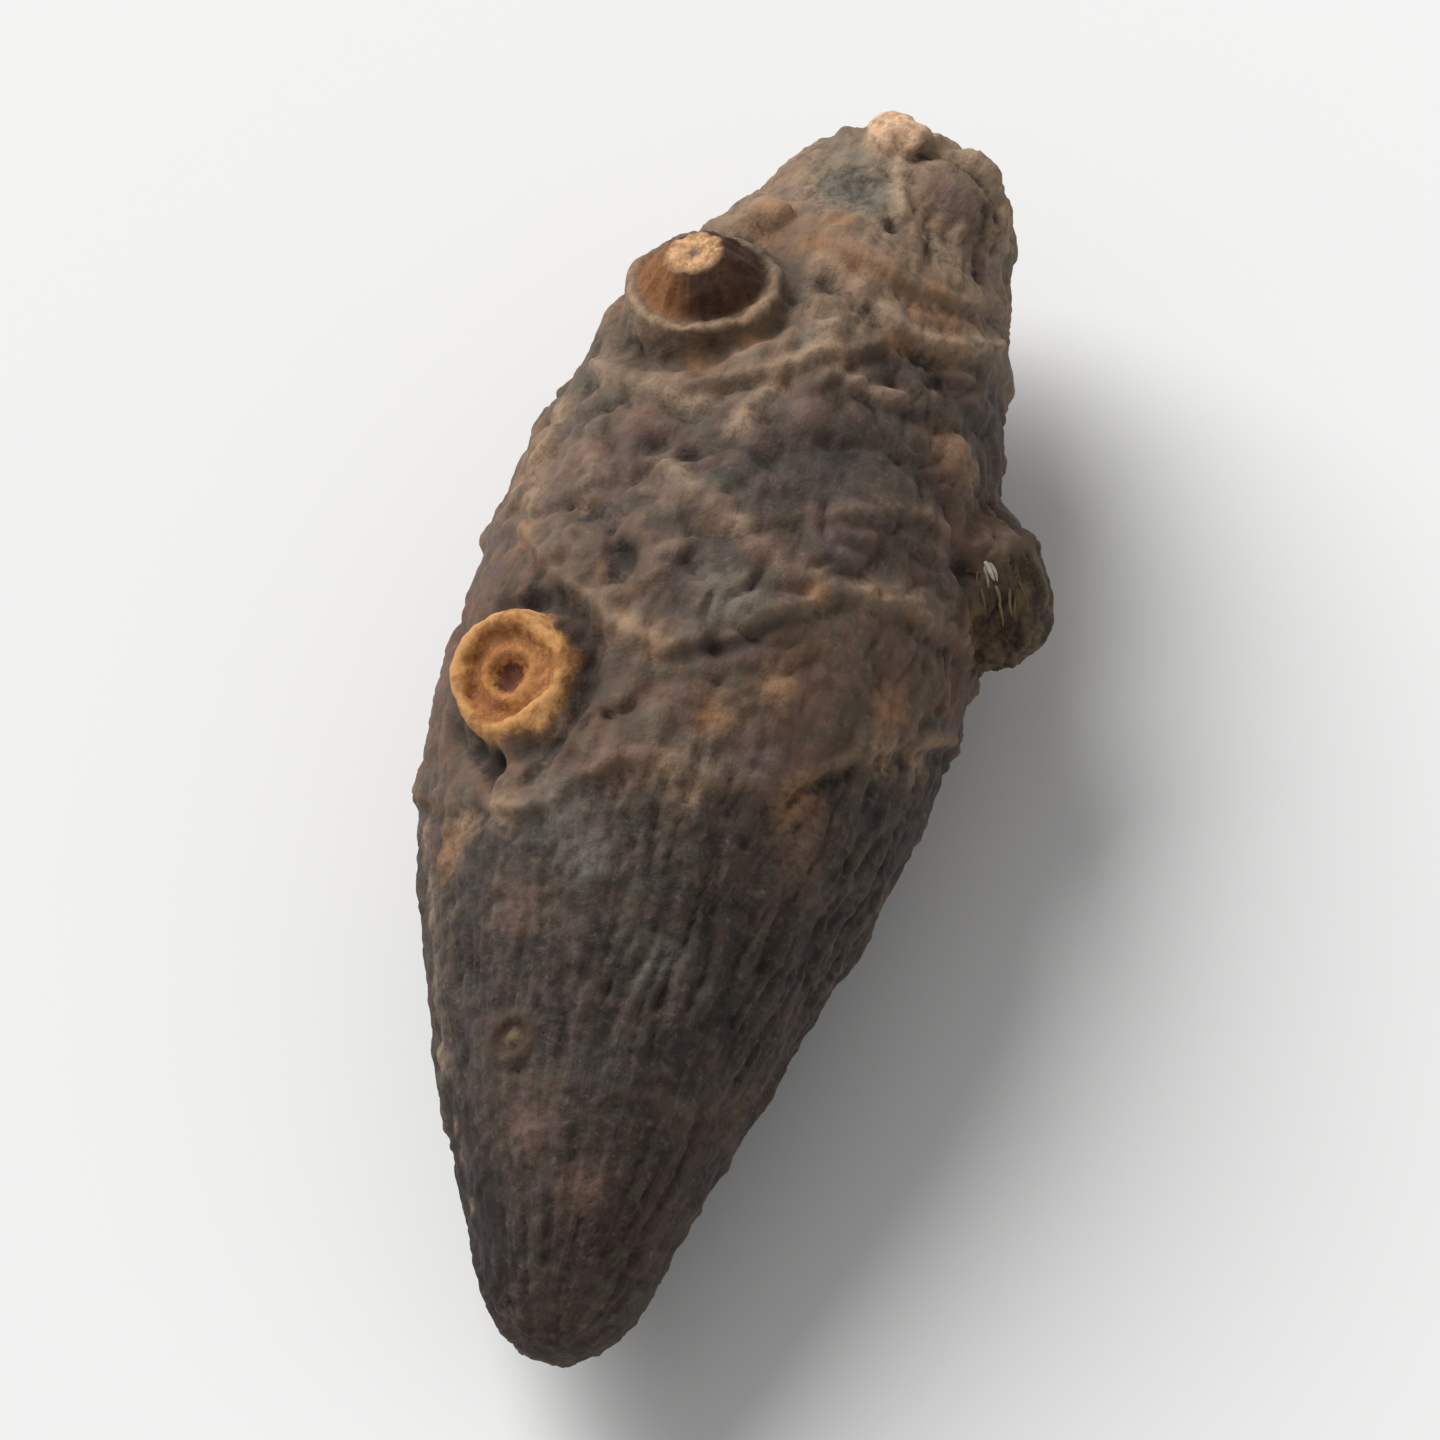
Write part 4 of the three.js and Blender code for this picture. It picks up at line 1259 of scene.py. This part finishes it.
class RHIZOME_OT_set_stage(bpy.types.Operator):
    """Lay the pale floor and set the soft lights and the camera"""

    bl_idname = "rhizome.set_stage"
    bl_label = "Set Stage"

    def execute(self, context):
        stage = context.scene.rhizome_stage
        clear_selection()
        bpy.ops.mesh.primitive_plane_add(size=FLOOR_SIZE, location=(0, 0, SOLID_LOW.z))
        floor = context.active_object
        floor.name = "floor"
        floor.data.materials.append(floor_material(stage.floor))

        world = bpy.data.worlds.new("soft_room")
        world.use_nodes = True
        sky = world.node_tree.nodes["Background"]
        sky.inputs["Color"].default_value = (1, 1, 1, 1)
        sky.inputs["Strength"].default_value = stage.fill_light
        context.scene.world = world
        context.scene.view_settings.view_transform = "Standard"

        bpy.ops.object.light_add(type="SUN", location=KEY_FROM * 0.3)
        key = context.active_object
        key.name = "key_light"
        key.data.energy = stage.key_light
        key.data.angle = KEY_SPREAD
        key.rotation_euler = KEY_FROM.to_track_quat("Z", "Y").to_euler()

        level = math.cos(stage.elevation)
        back = Vector((
            math.sin(stage.azimuth) * level, -math.cos(stage.azimuth) * level, math.sin(stage.elevation)))
        bpy.ops.object.camera_add()
        camera = context.active_object
        camera.name = "camera"
        camera.data.lens = stage.lens
        camera.data.sensor_width = SENSOR_WIDTH
        distance = stage.shown * stage.lens / SENSOR_WIDTH
        camera.location = (SOLID_LOW + SOLID_HIGH) / 2 + back * distance
        camera.rotation_euler = back.to_track_quat("Z", "Y").to_euler()
        camera.data.clip_start = CAMERA_NEAR
        camera.data.clip_end = CAMERA_FAR
        context.scene.camera = camera
        return {"FINISHED"}


class RHIZOME_PT_steps(bpy.types.Panel):
    """The rhizome's settings and building steps, in order"""

    bl_idname = "RHIZOME_PT_steps"
    bl_label = "Nutgrass Rhizome"
    bl_space_type = "VIEW_3D"
    bl_region_type = "UI"
    bl_category = "Rhizome"

    def draw(self, context):
        for kind, attribute in SETTINGS:
            box = self.layout.box()
            box.label(text=kind.__doc__)
            for name in kind.__annotations__:
                box.prop(getattr(context.scene, attribute), name)
        for step in STEPS:
            self.layout.operator(step.bl_idname)


SETTINGS = (
    (RhizomeShape, "rhizome_shape"),
    (RhizomeColours, "rhizome_colours"),
    (RhizomeStage, "rhizome_stage"),
)
STEPS = (
    RHIZOME_OT_grow_body,
    RHIZOME_OT_grow_stub,
    RHIZOME_OT_grow_scars,
    RHIZOME_OT_grow_buds,
    RHIZOME_OT_join_skin,
    RHIZOME_OT_shape_bark,
    RHIZOME_OT_lay_fibres,
    RHIZOME_OT_colour_pieces,
    RHIZOME_OT_set_stage,
)
CLASSES = (RhizomeShape, RhizomeColours, RhizomeStage, *STEPS, RHIZOME_PT_steps)


def register():
    """Registers the settings, the operators and the panel."""
    for kind in CLASSES:
        bpy.utils.register_class(kind)
    for kind, attribute in SETTINGS:
        setattr(bpy.types.Scene, attribute, bpy.props.PointerProperty(type=kind))


def unregister():
    """Removes the settings, the operators and the panel."""
    for _, attribute in SETTINGS:
        delattr(bpy.types.Scene, attribute)
    for kind in reversed(CLASSES):
        bpy.utils.unregister_class(kind)


def main():
    """Builds the rhizome and its stage."""
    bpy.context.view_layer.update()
    register()
    bpy.ops.rhizome.grow_body()
    bpy.ops.rhizome.grow_stub()
    bpy.ops.rhizome.grow_scars()
    bpy.ops.rhizome.grow_buds()
    bpy.ops.rhizome.join_skin()
    bpy.ops.rhizome.shape_bark()
    bpy.ops.rhizome.lay_fibres()
    bpy.ops.rhizome.colour_pieces()
    bpy.ops.rhizome.set_stage()


if __name__ == "__main__":
    main()
